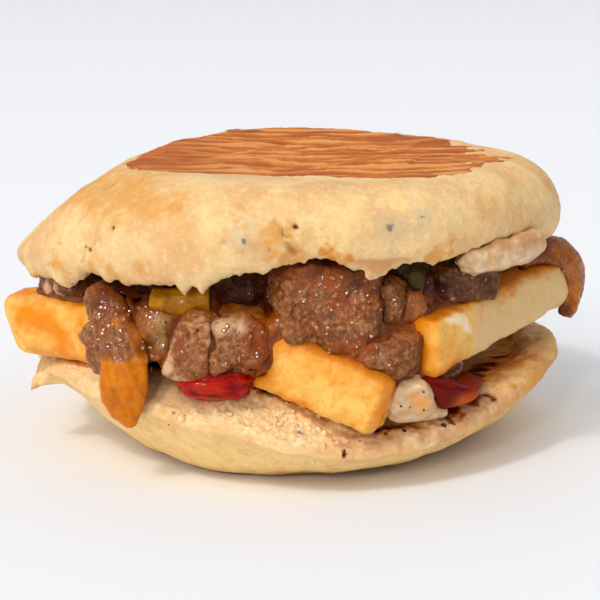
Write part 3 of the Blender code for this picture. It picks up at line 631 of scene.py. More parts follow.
def edge_height(mesh, rounds):
    """How far each point stands out from the smoothed mesh in mm: above 0 on edges, below 0 in hollows."""
    points = places_of(mesh)
    pairs = np.empty(len(mesh.edges) * 2, np.int32)
    mesh.edges.foreach_get("vertices", pairs)
    pairs = pairs.reshape(-1, 2)
    ends = np.concatenate([pairs[:, 0], pairs[:, 1]])
    others = np.concatenate([pairs[:, 1], pairs[:, 0]])
    count = np.bincount(ends, minlength=len(points))[:, None]
    settled = points
    for _ in range(rounds):
        total = np.stack([np.bincount(ends, settled[others, k], len(points)) for k in range(3)], 1)
        settled = 0.5 * settled + 0.5 * total / count
    return ((points - settled) * outward_of(mesh)).sum(1)


def grainy_liver(mesh, seed, tone, film, film_spots=(), fat_spots=(), painted_shade_spots=(), grain=1.0, knob=0.9):
    """Gives a refined mesh the knobs, granules and pits of cut liver, masks for gravy film, fat and tone, painted
    shade in its pits, a painted highlight on its ridges, and painted shade at the given spots.
    """
    points = places_of(mesh)
    knobs = lumps(points, LIVER_KNOB, seed, 2)
    granules = 0.55 - cells(points, LIVER_GRANULE, seed)
    crevice = np.clip(0.16 - np.abs(lumps(points, 6.0, seed + 5, 2)), 0, 1)
    fine = lumps(points, 0.8, seed + 1, 2)
    rough = ramp(lumps(points, 4.0, seed + 2, 2), -0.35, 0.25)
    edge = edge_height(mesh, 30)
    relief = grain * (0.6 * granules * (0.3 + 0.7 * rough) + 0.2 * fine - crevice)
    push_out(mesh, relief + knob * knobs)
    gravy = film * ramp(outward_of(mesh)[:, 2] + 0.6 * lumps(points, 5.0, seed + 3, 2), 0.15, 0.9)
    if film_spots:
        gravy = np.maximum(gravy, ramp(spots(points, film_spots, 0.7, seed), 0.0, 0.5))
    fat = np.zeros(len(points))
    if fat_spots:
        fat = 0.9 * ramp(spots(points, fat_spots, 0.6, seed + 1), 0.0, 0.75)
    # Painted shade: the given spots darken the tone and the gravy film
    shaded = np.zeros(len(points))
    if painted_shade_spots:
        shaded = 0.8 * ramp(spots(points, painted_shade_spots, 0.5, seed + 2), 0.0, 0.8)
    paint(mesh,
          pit=ramp(relief + 0.25 * edge, 0.0, -0.35),
          ridge=ramp(relief + 0.5 * edge, 0.1, 0.6),
          tone=np.clip(tone * (1 - shaded) + 0.25 * lumps(points, 7.0, seed + 4, 2), 0, 1),
          film=gravy * (1 - 0.7 * shaded),
          fat=fat)
    return mesh


# Fried liver: dense brown-mauve meat, cut into cubes and seared. Its cut faces are grainy and wet, so small sharp
# lights sit on the granules; gravy lies on top as a redder, smoother film. Fat at the edges is pale.
liver, tree, shader, place, mask = new_material(
    "fried_liver", ("pit", "ridge", "tone", "film", "fat"), IOR=1.42, Specular_IOR_Level=0.1, Coat_Roughness=0.12,
    Coat_IOR=1.45)
FIBRE = 2.2
WET_GRAIN = 0.55
JUICE_BEAD = 1.2
patch = node(tree, "TexNoise", {"Vector": place, "Scale": 1 / (FIBRE * 2 * MM), "Detail": 3.0})
fibre = node(tree, "TexNoise", {"Vector": place, "Scale": 1 / (FIBRE * 0.5 * MM), "Detail": 4.0, "Roughness": 0.6})
wet = node(tree, "TexNoise", {"Vector": place, "Scale": 1 / (WET_GRAIN * MM), "Detail": 2.0})
beads = node(tree, "TexNoise", {"Vector": place, "Scale": 1 / (JUICE_BEAD * MM), "Detail": 1.0})
warm = node(tree, "MapRange", {"Value": patch, "From Min": 0.4, "From Max": 0.62})
light = node(tree, "Mix", {0: warm, 6: linear("#9E6032"), 7: linear("#8A4814")}, data_type="RGBA")
spread = node(tree, "MapRange", {"Value": fibre, "From Min": 0.48, "From Max": 0.7, "To Max": 0.85})
light = node(tree, "Mix", {0: spread, 6: light, 7: linear("#D29A66")}, data_type="RGBA")
sunk = node(tree, "MapRange", {"Value": fibre, "From Min": 0.48, "From Max": 0.3, "To Max": 0.65})
light = node(tree, "Mix", {0: sunk, 6: light, 7: linear("#5C2A0C")}, data_type="RGBA")
colour = node(tree, "Mix", {0: mask["tone"], 6: linear("#2A0D04"), 7: light}, data_type="RGBA")
# Painted highlight on the granules' ridges and painted shade in their pits
lit_ridges = node(tree, "Math", {0: mask["ridge"], 1: 0.2}, operation="MULTIPLY")
shaded_pits = node(tree, "Math", {0: mask["pit"], 1: 0.55}, operation="MULTIPLY")
filmed = node(tree, "Math", {0: mask["film"], 1: node(tree, "MapRange", {"Value": fibre, "From Min": 0.3,
                             "From Max": 0.6, "To Min": 0.35})}, operation="MULTIPLY")
for share, shade in ((lit_ridges, "#C48C62"), (shaded_pits, "#57250C"), (mask["fat"], "#DFB184"), (filmed, "#964208")):
    colour = node(tree, "Mix", {0: share, 6: colour, 7: linear(shade)}, data_type="RGBA")
rough = node(tree, "MapRange", {"Value": fibre, "From Min": 0.35, "From Max": 0.65, "To Min": 0.35, "To Max": 0.6})
moist = node(tree, "MapRange", {"Value": mask["tone"], "From Min": 0.1, "From Max": 0.6, "To Min": 0.25,
                                "To Max": 0.55})
bump = node(tree, "Bump", {"Height": fibre, "Strength": 0.5, "Distance": 0.4 * MM})
bump = node(tree, "Bump", {"Height": wet, "Strength": 0.45, "Distance": 0.22 * MM, "Normal": bump})
beaded = node(tree, "Bump", {"Height": beads, "Strength": 1.0, "Distance": 1.1 * MM})
beaded = node(tree, "Bump", {"Height": wet, "Strength": 0.3, "Distance": 0.2 * MM, "Normal": beaded})
feed(tree, shader, {"Base Color": colour, "Roughness": rough, "Coat Weight": moist, "Normal": bump,
                    "Coat Normal": beaded})

core_mesh = refined("liver_core", 1.0, 5, 0.3)
core_points = places_of(core_mesh)
chunks = 0.5 - cells(core_points, 8.5, 41)
push_out(core_mesh, 3.2 * np.clip(chunks, -0.35, 0.5))
# Painted shade: a very low tone and little film paint the filling near black
grainy_liver(core_mesh, 42, 0.08, 0.15, ((-28.0, -50.0, 25.6, 6.0),))
add_piece("chopped_filling", core_mesh, liver, "liver", "liver_core")


# Liver
# Cubes and offcuts of fried liver. The largest stands in the middle of the front; the others are wedged round it,
# under the lid and down to the lower bread.

LIVER_PIECES = {
    # node: (cell, passes, tone, film, grain, knob)
    "liver_front": (0.38, 26, 0.85, 0.4, 1.0, 0.9),
    "liver_front_lobe": (0.38, 26, 0.7, 0.3, 0.8, 1.0),
    "liver_mid": (0.36, 30, 0.9, 0.2, 1.0, 1.7),
    "liver_cut_end": (0.36, 10, 0.95, 0.1, 0.5, 0.5),
    "liver_low": (0.38, 30, 0.85, 0.35, 0.8, 1.1),
    "liver_slab": (0.36, 20, 0.9, 0.1, 0.9, 1.0),
    # The inner pieces sit in the gaps under the lid; their low tone is painted shade
    "liver_inner_right": (0.45, 24, 0.3, 0.2, 1.0, 1.6),
    "liver_inner_left": (0.45, 24, 0.1, 0.2, 1.0, 1.8),
    "liver_inner_far_left": (0.45, 24, 0.12, 0.3, 1.0, 1.6),
    "liver_left_end": (0.45, 20, 0.55, 0.3, 0.8, 1.0),
    "liver_right": (0.55, 16, 0.7, 0.5, 1.0, 1.2),
    "liver_back_right": (0.55, 16, 0.72, 0.5, 1.0, 1.2),
    "liver_back": (0.55, 16, 0.55, 0.5, 1.0, 1.4),
    "liver_back_left": (0.55, 16, 0.62, 0.5, 1.0, 1.4),
    "liver_left": (0.55, 16, 0.68, 0.4, 1.0, 1.2),
}
LIVER_FILM = {
    "liver_front": ((6.0, -57.0, 48.0, 6.0), (10.0, -56.5, 48.5, 6.5), (16.0, -55.0, 48.0, 5.0),
                    (10.0, -59.5, 31.0, 4.0), (16.0, -58.5, 32.0, 3.0)),
    "liver_mid": ((-5.6, -60.0, 33.0, 5.0), (-6.0, -59.0, 37.0, 4.5), (-6.6, -60.5, 28.0, 4.0)),
    "liver_low": ((13.9, -58.8, 30.3, 4.2), (15.5, -58.6, 32.0, 3.5), (12.0, -58.0, 32.0, 3.0)),
    "liver_cut_end": ((-22.6, -60.6, 33.4, 1.9), (-22.0, -60.4, 31.9, 1.2)),
    "liver_left_end": ((-44.0, -33.0, 38.0, 3.0),),
}
# Painted shade: spots under the lid and in the gaps, where the liver's tone and gravy film are painted darker
LIVER_PAINTED_SHADE = {
    "liver_front": ((14.0, -55.6, 47.4, 7.0), (5.0, -56.6, 48.6, 4.4), (20.0, -53.0, 44.0, 6.0),
                    (19.0, -55.0, 39.0, 4.6)),
    "liver_front_lobe": ((18.0, -54.6, 39.0, 5.0), (20.0, -52.0, 34.0, 4.0)),
    "liver_mid": ((-12.0, -59.0, 27.6, 3.0),),
    "liver_inner_right": ((33.0, -46.0, 42.0, 3.0), (42.0, -40.0, 42.6, 3.4)),
    "liver_left_end": ((-46.0, -36.5, 41.0, 5.0), (-49.0, -33.0, 43.0, 3.0)),
}
LIVER_FAT = {
    "liver_cut_end": ((-26.0, -58.4, 30.6, 1.7), (-25.6, -58.6, 33.4, 1.5), (-25.4, -58.4, 27.6, 1.9),
                      (-18.0, -60.6, 40.6, 3.4), (-16.4, -61.4, 38.0, 1.9), (-23.4, -59.0, 38.2, 1.7),
                      (-23.6, -58.4, 25.6, 2.0), (-16.2, -61.4, 34.0, 1.4), (-20.6, -59.4, 40.0, 1.8)),
    "liver_left_end": ((-51.6, -31.4, 39.0, 2.6), (-55.0, -28.4, 38.0, 2.6)),
    "liver_mid": ((-13.4, -60.4, 37.8, 3.2), (-9.0, -60.4, 36.8, 2.2)),
}
for seed, (name, (cell, passes, tone, film, grain_share, knob)) in enumerate(LIVER_PIECES.items()):
    mesh = refined(name, cell, passes, 0.35)
    grainy_liver(mesh, 50 + 7 * seed, tone, film, LIVER_FILM.get(name, ()), LIVER_FAT.get(name, ()),
                 LIVER_PAINTED_SHADE.get(name, ()), grain_share, knob)
    add_piece(name + "_meat", mesh, liver, "liver", name)


# Chips
# Thick-cut potato, fried until the skin is dry and yellow with darker corners, then wetted by the sauce. The cut
# ends are rougher than the sides.

CHIP_PIECES = {
    # node: (cell, passes, how brown the sauce on it is, how much of it lies on top)
    "chip_front": (0.4, 14, 0.75, 0.55),
    "chip_right": (0.46, 16, 0.6, 1.0),
    "chip_left": (0.5, 110, 0.05, 0.3),
    "chip_back_right": (0.65, 9, 0.7, 0.6),
    "chip_back_left": (0.65, 9, 0.7, 0.6),
}
# Runs of orange sauce on the chips, and of brown gravy on top of that: how wide each is, and the line that it follows
CHIP_SAUCE = {
    "chip_front": ((7.0, ((-6.0, -53.6, 36.4), (0.0, -56.4, 34.6), (6.0, -58.2, 33.2), (12.0, -60.0, 31.4),
                          (18.0, -61.8, 28.8))),
                   (6.0, ((-7.6, -55.4, 31.0), (-6.0, -56.6, 25.4))),
                   (7.4, ((22.6, -61.6, 27.0), (22.0, -61.6, 22.0), (21.0, -61.6, 18.6))),
                   (2.4, ((-3.0, -57.6, 20.8), (3.0, -58.4, 20.0)))),
    "chip_right": ((6.6, ((39.0, -41.0, 41.6), (44.0, -35.0, 42.2), (51.0, -26.6, 43.0), (60.0, -16.0, 44.0))),
                   (5.0, ((26.8, -52.0, 26.6), (28.6, -52.8, 30.0))),
                   (4.6, ((26.6, -51.2, 33.0), (27.4, -50.6, 37.0))),
                   (4.0, ((31.6, -51.6, 24.6), (37.0, -49.0, 26.0)))),
    "chip_left": ((5.0, ((-60.4, -28.4, 33.0), (-55.0, -31.4, 31.2), (-50.6, -34.0, 28.4), (-51.0, -33.0, 24.6))),
                  (5.6, ((-63.6, -18.0, 36.6), (-60.0, -22.0, 37.6))),
                  (3.8, ((-51.6, -31.0, 38.0), (-46.6, -34.6, 36.6))),
                  (2.6, ((-58.0, -28.6, 23.2), (-51.0, -32.6, 23.2), (-46.0, -35.6, 23.4))),
                  (3.4, ((-45.6, -35.6, 33.0), (-45.0, -36.4, 28.0)))),
    "chip_back_right": ((3.0, ((34.0, 44.0, 38.0), (20.0, 56.0, 34.0))),),
    "chip_back_left": ((3.0, ((-34.0, 44.0, 38.0), (-20.0, 56.0, 34.0))),),
}
# Painted highlight: a pale streak on the upper corner of the right chip's cut end
CHIP_HIGHLIGHT_RUNS = {"chip_right": ((2.4, ((34.4, -50.2, 37.0), (37.8, -47.2, 35.4), (39.4, -45.4, 33.4))),)}

# Fried potato: a thin dry crust over a soft waxy inside, light yellow on the faces and amber on the corners. The oil
# and sauce that it has taken up make it orange in runs along the top.
potato, tree, shader, place, mask = new_material(
    "fried_potato", ("corner", "sauced", "gravied", "white", "shaded"), IOR=1.42, Specular_IOR_Level=0.2,
    Coat_Weight=0.15, Coat_Roughness=0.2, Coat_IOR=1.4, Subsurface_Weight=0.15, Subsurface_Radius=(1.0, 0.5, 0.1),
    Subsurface_Scale=2.0 * MM)
CHIP_BLOTCH = 4.5
CHIP_GRAIN = 0.8
patch = node(tree, "TexNoise", {"Vector": place, "Scale": 1 / (CHIP_BLOTCH * MM), "Detail": 4.0, "Roughness": 0.6})
grain = node(tree, "TexNoise", {"Vector": place, "Scale": 1 / (CHIP_GRAIN * MM), "Detail": 3.0})
deep = node(tree, "MapRange", {"Value": patch, "From Min": 0.4, "From Max": 0.66})
colour = node(tree, "Mix", {0: deep, 6: linear("#F9C464"), 7: linear("#F0A63E")}, data_type="RGBA")
fleck = node(tree, "MapRange", {"Value": grain, "From Min": 0.54, "From Max": 0.7, "To Max": 0.4})
amber = node(tree, "MapRange", {"Value": node(tree, "Math", {0: mask["corner"], 1: patch}, operation="MULTIPLY"),
                                "From Min": 0.12, "From Max": 0.5, "To Max": 0.55})
soaked = node(tree, "Math", {0: mask["sauced"], 1: node(tree, "MapRange", {"Value": patch, "From Min": 0.25,
                             "From Max": 0.5, "To Min": 0.75})}, operation="MULTIPLY")
oiled = node(tree, "MapRange", {"Value": soaked, "From Min": 0.0, "From Max": 0.85, "To Max": 0.97})
gravied = node(tree, "MapRange", {"Value": node(tree, "Math", {0: soaked, 1: mask["gravied"]}, operation="MULTIPLY"),
                                  "From Min": 0.1, "From Max": 0.8, "To Max": 0.85})
# white is a painted highlight and shaded a painted shade, both on the right chip
for share, shade in ((fleck, "#DE9230"), (mask["shaded"], "#E2C08A"), (amber, "#EC9A1C"), (mask["white"], "#FCE7C4"),
                     (oiled, "#EE8A02"), (gravied, "#BA6C18")):
    colour = node(tree, "Mix", {0: share, 6: colour, 7: linear(shade)}, data_type="RGBA")
dry = node(tree, "MapRange", {"Value": soaked, "To Min": 0.5, "To Max": 0.22})
bump = node(tree, "Bump", {"Height": grain, "Strength": 0.3, "Distance": 0.3 * MM})
bump = node(tree, "Bump", {"Height": patch, "Strength": 0.3, "Distance": 0.8 * MM, "Normal": bump})
feed(tree, shader, {"Base Color": colour, "Roughness": dry, "Normal": bump})

for seed, (name, (cell, passes, browning, on_top_share)) in enumerate(CHIP_PIECES.items()):
    mesh = refined(name, cell, passes, 0.3)
    points = places_of(mesh)
    edge = edge_height(mesh, 40)
    low_front = ramp(points[:, 2], 27, 21) if name == "chip_front" else 0 * edge
    relief = 0.4 * lumps(points, 6.0, 200 + seed, 2) + 0.12 * lumps(points, 1.6, 210 + seed, 3)
    relief += ramp(edge, 0.1, 0.7) * 0.35 * lumps(points, 1.3, 220 + seed, 2)
    relief += low_front * 0.35 * lumps(points, 2.2, 225 + seed, 3)
    push_out(mesh, relief)
    outward = outward_of(mesh)
    gravy = ramp(runs(points, CHIP_SAUCE[name], 0.6, 230 + seed), 0.0, 1.0)
    drips = on_top_share * ramp(outward[:, 2] + 0.25 * lumps(points, 7.0, 240 + seed, 2), 0.3, 1.05)
    # Painted highlight along the given runs
    pale = 0 * edge
    if name in CHIP_HIGHLIGHT_RUNS:
        pale = 0.8 * ramp(runs(points, CHIP_HIGHLIGHT_RUNS[name], 0.5, 260 + seed), 0.1, 0.7)
    # Painted shade: the right chip's side that faces right and forward is painted a greyer cream
    side = ramp(outward[:, 0] * 0.75 - outward[:, 1] * 0.5 - outward[:, 2] * 0.2, 0.35, 0.75)
    along_side = side * ramp(points[:, 0], 38.5, 42.0) if name == "chip_right" else 0 * edge
    paint(mesh,
          corner=ramp(edge + 0.2 * lumps(points, 3.0, 250 + seed), 0.05, 0.7),
          sauced=np.maximum(gravy, drips),
          gravied=browning * ramp(outward[:, 2] + 0.2 * lumps(points, 4.0, 245 + seed, 2), 0.0, 0.8),
          white=pale,
          shaded=0.8 * along_side)
    add_piece(name + "_fried", mesh, potato, "fried_potato", name)


# Onion
# Wedges of onion fried until they are limp and see-through. One hangs over the lower bread at the left, one curls
# round the end of the right-hand chip, and the rest lie between the pieces of liver.

ONION_PIECES = {
    # node: (route that its ribs follow, cell, browning at its start and its end)
    "onion_drape": (((-42.8, -42.6, 41.6), (-39.9, -46.5, 38.1), (-37.9, -50.0, 34.5), (-35.5, -53.0, 30.3),
                     (-35.4, -54.8, 25.2), (-35.5, -55.0, 19.8), (-33.8, -54.0, 14.0)), 0.34, 0.35, 0.0),
    "onion_right": (((52.8, -19.0, 43.6), (59.2, -15.0, 45.2), (65.0, -11.8, 42.8), (67.0, -10.4, 37.0),
                     (65.0, -12.6, 28.6)), 0.36, 0.9, 0.6),
    "onion_sauced": (((-17.6, -48.4, 37.4), (-9.6, -50.6, 37.4), (-1.0, -50.4, 35.6)), 0.4, 0.7, 0.5),
    "onion_mid": (((-33.0, -50.0, 36.0), (-29.0, -50.0, 33.4), (-25.0, -50.0, 30.0)), 0.38, 0.75, 0.6),
    "onion_inner": (((26.0, -48.0, 41.0), (26.2, -48.0, 34.0)), 0.4, 0.85, 0.8),
    "onion_back": (((4.0, 47.0, 34.0), (2.0, 56.0, 32.0), (1.0, 61.6, 27.0), (0.0, 63.6, 18.6)), 0.45, 0.8, 0.3),
}
ONION_CAUGHT = {"onion_drape": ((-44.0, -44.6, 40.4, 6.4), (-42.4, -47.6, 36.6, 6.2), (-40.0, -50.8, 32.6, 5.6),
                                (-36.6, -53.4, 31.6, 4.4))}
# Painted shade: spots on the onion, under the lid and on the drape's flank, that are painted dark brown
ONION_PAINTED_SHADE = {"onion_drape": ((-33.0, -50.4, 36.4, 4.8), (-36.0, -47.4, 40.6, 5.4), (-31.6, -52.4, 31.4, 3.6),
                              (-39.0, -46.6, 41.8, 6.6), (-35.4, -49.8, 38.6, 3.8), (-32.2, -53.4, 27.0, 1.8)),
              "onion_mid": ((-33.0, -50.4, 37.0, 3.4), (-30.0, -52.6, 31.6, 3.0)),
              "onion_right": ((58.0, -17.0, 47.0, 5.0), (64.0, -14.0, 30.0, 3.4))}
ONION_RIB = 1.9
ONION_SMOOTHING = 14

# Soft fried onion: thin wet layers that light passes into, amber where they are clear and brown where they caught in
# the pan. Fine veins run along each layer.
onion, tree, shader, place, mask = new_material(
    "soft_fried_onion", ("vein", "caught", "clear", "rim", "dark"), IOR=1.4, Roughness=0.35, Specular_IOR_Level=0.15,
    Coat_Roughness=0.12, Coat_IOR=1.42, Subsurface_Weight=0.3, Subsurface_Radius=(1.0, 0.3, 0.02),
    Subsurface_Scale=1.5 * MM)
patch = node(tree, "TexNoise", {"Vector": place, "Scale": 1 / (3.0 * MM), "Detail": 4.0, "Roughness": 0.6})
wet = node(tree, "TexNoise", {"Vector": place, "Scale": 1 / (0.8 * MM), "Detail": 2.0})
beads = node(tree, "TexNoise", {"Vector": place, "Scale": 1 / (JUICE_BEAD * MM), "Detail": 1.0})
vary = node(tree, "MapRange", {"Value": patch, "From Min": 0.38, "From Max": 0.62})
amber = node(tree, "Mix", {0: vary, 6: linear("#DC800A"), 7: linear("#C46602")}, data_type="RGBA")
amber = node(tree, "Mix", {0: mask["rim"], 6: amber, 7: linear("#A84A02")}, data_type="RGBA")
brown = node(tree, "Mix", {0: vary, 6: linear("#94582E"), 7: linear("#763C14")}, data_type="RGBA")
colour = node(tree, "Mix", {0: mask["caught"], 6: amber, 7: brown}, data_type="RGBA")
veined = node(tree, "Math", {0: mask["vein"], 1: 0.1}, operation="MULTIPLY")
# dark darkens the onion as painted shade
for share, shade in ((veined, "#E9A54C"), (mask["clear"], "#A07C40"), (mask["dark"], "#5A2204")):
    colour = node(tree, "Mix", {0: share, 6: colour, 7: linear(shade)}, data_type="RGBA")
slick = node(tree, "MapRange", {"Value": mask["caught"], "To Min": 0.12, "To Max": 0.55})
bump = node(tree, "Bump", {"Height": wet, "Strength": 0.25, "Distance": 0.25 * MM})
beaded = node(tree, "Bump", {"Height": beads, "Strength": 0.7, "Distance": 0.6 * MM})
feed(tree, shader, {"Base Color": colour, "Coat Weight": slick, "Normal": bump, "Coat Normal": beaded})

ONION_CLEAR = {"onion_mid": ((-25.8, -54.0, 36.0, 4.6), (-26.0, -54.0, 32.6, 4.0)),
               "onion_drape": ((-36.4, -58.6, 20.0, 1.6),)}
for seed, (name, (route, cell, start_brown, end_brown)) in enumerate(ONION_PIECES.items()):
    mesh = refined(name, cell, ONION_SMOOTHING, 0.3)
    points = places_of(mesh)
    edge = edge_height(mesh, 40)
    apart, along = near_line(points, route)
    toward = np.array(route[-1], float) - np.array(route[0], float)
    across = np.cross(toward / np.linalg.norm(toward), (-0.2, -0.9, 0.2))
    bent = points @ across + 0.8 * lumps(points, 6.0, 300 + seed, 2)
    rib = np.sin(2 * math.pi * bent / ONION_RIB)
    caught = start_brown + (end_brown - start_brown) * ramp(along, 0.1, 0.75)
    if name in ONION_CAUGHT:
        caught = np.maximum(caught, ramp(spots(points, ONION_CAUGHT[name], 0.35, 350 + seed), 0.0, 0.3))
    relief = 0.05 * rib + 0.35 * lumps(points, 4.5, 310 + seed, 2)
    relief += (0.04 + 0.16 * caught) * lumps(points, 1.0, 320 + seed, 2)
    push_out(mesh, relief)
    dark = 0 * along
    if name in ONION_PAINTED_SHADE:
        dark = 0.85 * ramp(spots(points, ONION_PAINTED_SHADE[name], 0.4, 360 + seed), 0.0, 0.8)
    paint(mesh,
          vein=ramp(rib, 0.3, 1.0),
          dark=dark,
          caught=np.clip(caught + 0.3 * lumps(points, 3.0, 330 + seed), 0, 1),
          rim=0.7 * ramp(edge, 0.2, 0.9),
          clear=0.75 * ramp(spots(points, ONION_CLEAR.get(name, ((0, 0, 0, 1.0),)), 0.6, 340 + seed), 0.0, 0.6))
    add_piece(name + "_layers", mesh, onion, "soft_onion", name)


# Peppers
# Strips of sweet pepper, fried soft with the skin on: a yellow one at the upper left, a dark green one beside the
# middle liver, and one more at the back.

PEPPER_RIPENESS = {"pepper_yellow": 1.0, "pepper_green": 0.0, "pepper_back": 0.8}

# Fried sweet pepper: wet smooth skin that catches long highlights, olive yellow or dark green, with brown oil on it.
# Its ridges are painted lighter, a painted highlight.
pepper, tree, shader, place, mask = new_material(
    "fried_sweet_pepper", ("ripe", "ridge"), IOR=1.42, Roughness=0.25, Specular_IOR_Level=0.12, Coat_Weight=0.3,
    Coat_Roughness=0.08, Coat_IOR=1.38, Subsurface_Weight=0.1, Subsurface_Radius=(1.0, 0.6, 0.05),
    Subsurface_Scale=1.5 * MM)
patch = node(tree, "TexNoise", {"Vector": place, "Scale": 1 / (3.5 * MM), "Detail": 3.0})
vary = node(tree, "MapRange", {"Value": patch, "From Min": 0.38, "From Max": 0.64})
yellow = node(tree, "Mix", {0: vary, 6: linear("#B47804"), 7: linear("#824E02")}, data_type="RGBA")
yellow = node(tree, "Mix", {0: mask["ridge"], 6: yellow, 7: linear("#CE9818")}, data_type="RGBA")
green = node(tree, "Mix", {0: vary, 6: linear("#4F3D10"), 7: linear("#35260C")}, data_type="RGBA")
colour = node(tree, "Mix", {0: mask["ripe"], 6: green, 7: yellow}, data_type="RGBA")
bump = node(tree, "Bump", {"Height": patch, "Strength": 0.3, "Distance": 0.4 * MM})
feed(tree, shader, {"Base Color": colour, "Normal": bump})
for seed, (name, ripeness) in enumerate(PEPPER_RIPENESS.items()):
    mesh = refined(name, 0.4, 4, 0.15)
    points = places_of(mesh)
    edge = edge_height(mesh, 30)
    push_out(mesh, 0.3 * lumps(points, 5.0, 400 + seed, 2) + 0.06 * lumps(points, 1.2, 410 + seed, 2))
    # Painted highlight: the strips' ridges are painted a lighter yellow
    paint(mesh,
          ripe=np.full(len(points), ripeness),
          ridge=0.8 * ramp(edge, 0.25, 0.7))
    add_piece(name + "_skin", mesh, pepper, "sweet_pepper", name)


# Tomato
# Soft wedges of tomato, squeezed out between the liver and the lower bread at the front, with more at the back.

# Cooked tomato: wet red flesh under a thin skin that has wrinkled. Its folds are painted deep red as painted shade,
# with white lights on top.
tomato, tree, shader, place, mask = new_material(
    "cooked_tomato", ("fold", "skin"), IOR=1.4, Roughness=0.25, Specular_IOR_Level=0.12, Coat_Weight=0.3,
    Coat_Roughness=0.06, Coat_IOR=1.38, Subsurface_Weight=0.1, Subsurface_Radius=(1.0, 0.1, 0.05),
    Subsurface_Scale=1.5 * MM)
patch = node(tree, "TexNoise", {"Vector": place, "Scale": 1 / (2.5 * MM), "Detail": 3.0})
vary = node(tree, "MapRange", {"Value": patch, "From Min": 0.38, "From Max": 0.62})
colour = node(tree, "Mix", {0: vary, 6: linear("#B40E02"), 7: linear("#8A0A02")}, data_type="RGBA")
for share, shade in ((mask["fold"], "#5E0802"), (mask["skin"], "#C2280A")):
    colour = node(tree, "Mix", {0: share, 6: colour, 7: linear(shade)}, data_type="RGBA")
bump = node(tree, "Bump", {"Height": patch, "Strength": 0.25, "Distance": 0.4 * MM})
feed(tree, shader, {"Base Color": colour, "Normal": bump})
for seed, name in enumerate(("tomato_front", "tomato_back", "tomato_right")):
    mesh = refined(name, 0.36, 6, 0.2)
    points = places_of(mesh)
    folds = np.abs(lumps(points * (0.3, 1.0, 1.6), 3.4, 500 + seed, 2))
    push_out(mesh, 0.5 - 1.3 * np.clip(0.4 - folds, 0, 0.4) + 0.25 * lumps(points, 4.0, 510 + seed, 2))
    # Painted shade: fold paints the folds deep red; it also paints everything right of x = -9.5 mm darker
    paint(mesh,
          fold=0.6 * ramp(folds, 0.12, 0.0) + 0.4 * ramp(points[:, 0], -9.5, -7.0),
          skin=0.7 * ramp(folds, 0.25, 0.6))
    add_piece(name + "_flesh", mesh, tomato, "tomato", name)


# Mayonnaise
# Two thick smears: one spread under the lid at the right, one run down beside the front chip.

# Mayonnaise: a smooth opaque oil and egg cream, satin and slightly yellow, stained tan and orange by the gravy.
mayonnaise, tree, shader, place, mask = new_material(
    "mayonnaise", ("tan", "orange"), IOR=1.45, Roughness=0.3, Coat_Weight=0.5, Coat_Roughness=0.12,
    Subsurface_Weight=0.3, Subsurface_Radius=(1.0, 0.8, 0.5), Subsurface_Scale=1.5 * MM)
patch = node(tree, "TexNoise", {"Vector": place, "Scale": 1 / (2.2 * MM), "Detail": 3.0})
vary = node(tree, "MapRange", {"Value": patch, "From Min": 0.35, "From Max": 0.65})
colour = node(tree, "Mix", {0: vary, 6: linear("#EACCA4"), 7: linear("#D2A674")}, data_type="RGBA")
for share, shade in ((mask["tan"], "#C48A4A"), (mask["orange"], "#F0A23C")):
    colour = node(tree, "Mix", {0: share, 6: colour, 7: linear(shade)}, data_type="RGBA")
bump = node(tree, "Bump", {"Height": patch, "Strength": 0.3, "Distance": 0.5 * MM})
feed(tree, shader, {"Base Color": colour, "Normal": bump})
MAYONNAISE_TAN = {
    "mayonnaise_upper": ((52.0, -40.6, 52.4, 6.0), (57.0, -36.0, 51.4, 7.0), (46.0, -45.0, 52.6, 4.4)),
    "mayonnaise_lower": ((30.4, -52.6, 21.6, 4.4), (31.6, -53.6, 18.6, 3.8), (25.6, -52.0, 26.0, 3.4)),
}
MAYONNAISE_ORANGE = {
    "mayonnaise_upper": ((57.0, -36.0, 48.6, 2.6),),
    "mayonnaise_lower": ((28.2, -55.4, 19.4, 3.8), (26.4, -57.0, 21.0, 2.6), (25.0, -56.4, 16.4, 2.2)),
}
for seed, name in enumerate(("mayonnaise_upper", "mayonnaise_lower")):
    mesh = refined(name, 0.38, 34, 0.35)
    points = places_of(mesh)
    push_out(mesh, 0.8 * lumps(points, 5.0, 600 + seed, 2) + 0.16 * lumps(points, 1.8, 610 + seed, 2))
    paint(mesh,
          tan=ramp(spots(points, MAYONNAISE_TAN[name], 0.3, 620 + seed), 0.0, 1.0),
          orange=ramp(spots(points, MAYONNAISE_ORANGE[name], 0.3, 630 + seed), 0.0, 1.0))
    add_piece(name + "_smear", mesh, mayonnaise, "mayonnaise", name)


# Chilli sauce
# A pool of thick red sauce that has run out under the right-hand chip.

# Chilli sauce: a clear starch jelly, dark red where it is deep and orange at its thin edge, and mirror smooth.
chilli, tree, shader, place, mask = new_material(
    "chilli_sauce", ("thin",), IOR=1.42, Roughness=0.1, Specular_IOR_Level=0.1, Coat_Weight=0.15, Coat_Roughness=0.03,
    Coat_IOR=1.38)
patch = node(tree, "TexNoise", {"Vector": place, "Scale": 1 / (3.0 * MM), "Detail": 3.0})
uneven = node(tree, "MapRange", {"Value": patch, "From Min": 0.3, "From Max": 0.6, "To Min": 0.5})
edge = node(tree, "Math", {0: mask["thin"], 1: uneven}, operation="MULTIPLY")
colour = node(tree, "Mix", {0: edge, 6: linear("#6A0A02"), 7: linear("#BE4A06")}, data_type="RGBA")
feed(tree, shader, {"Base Color": colour})
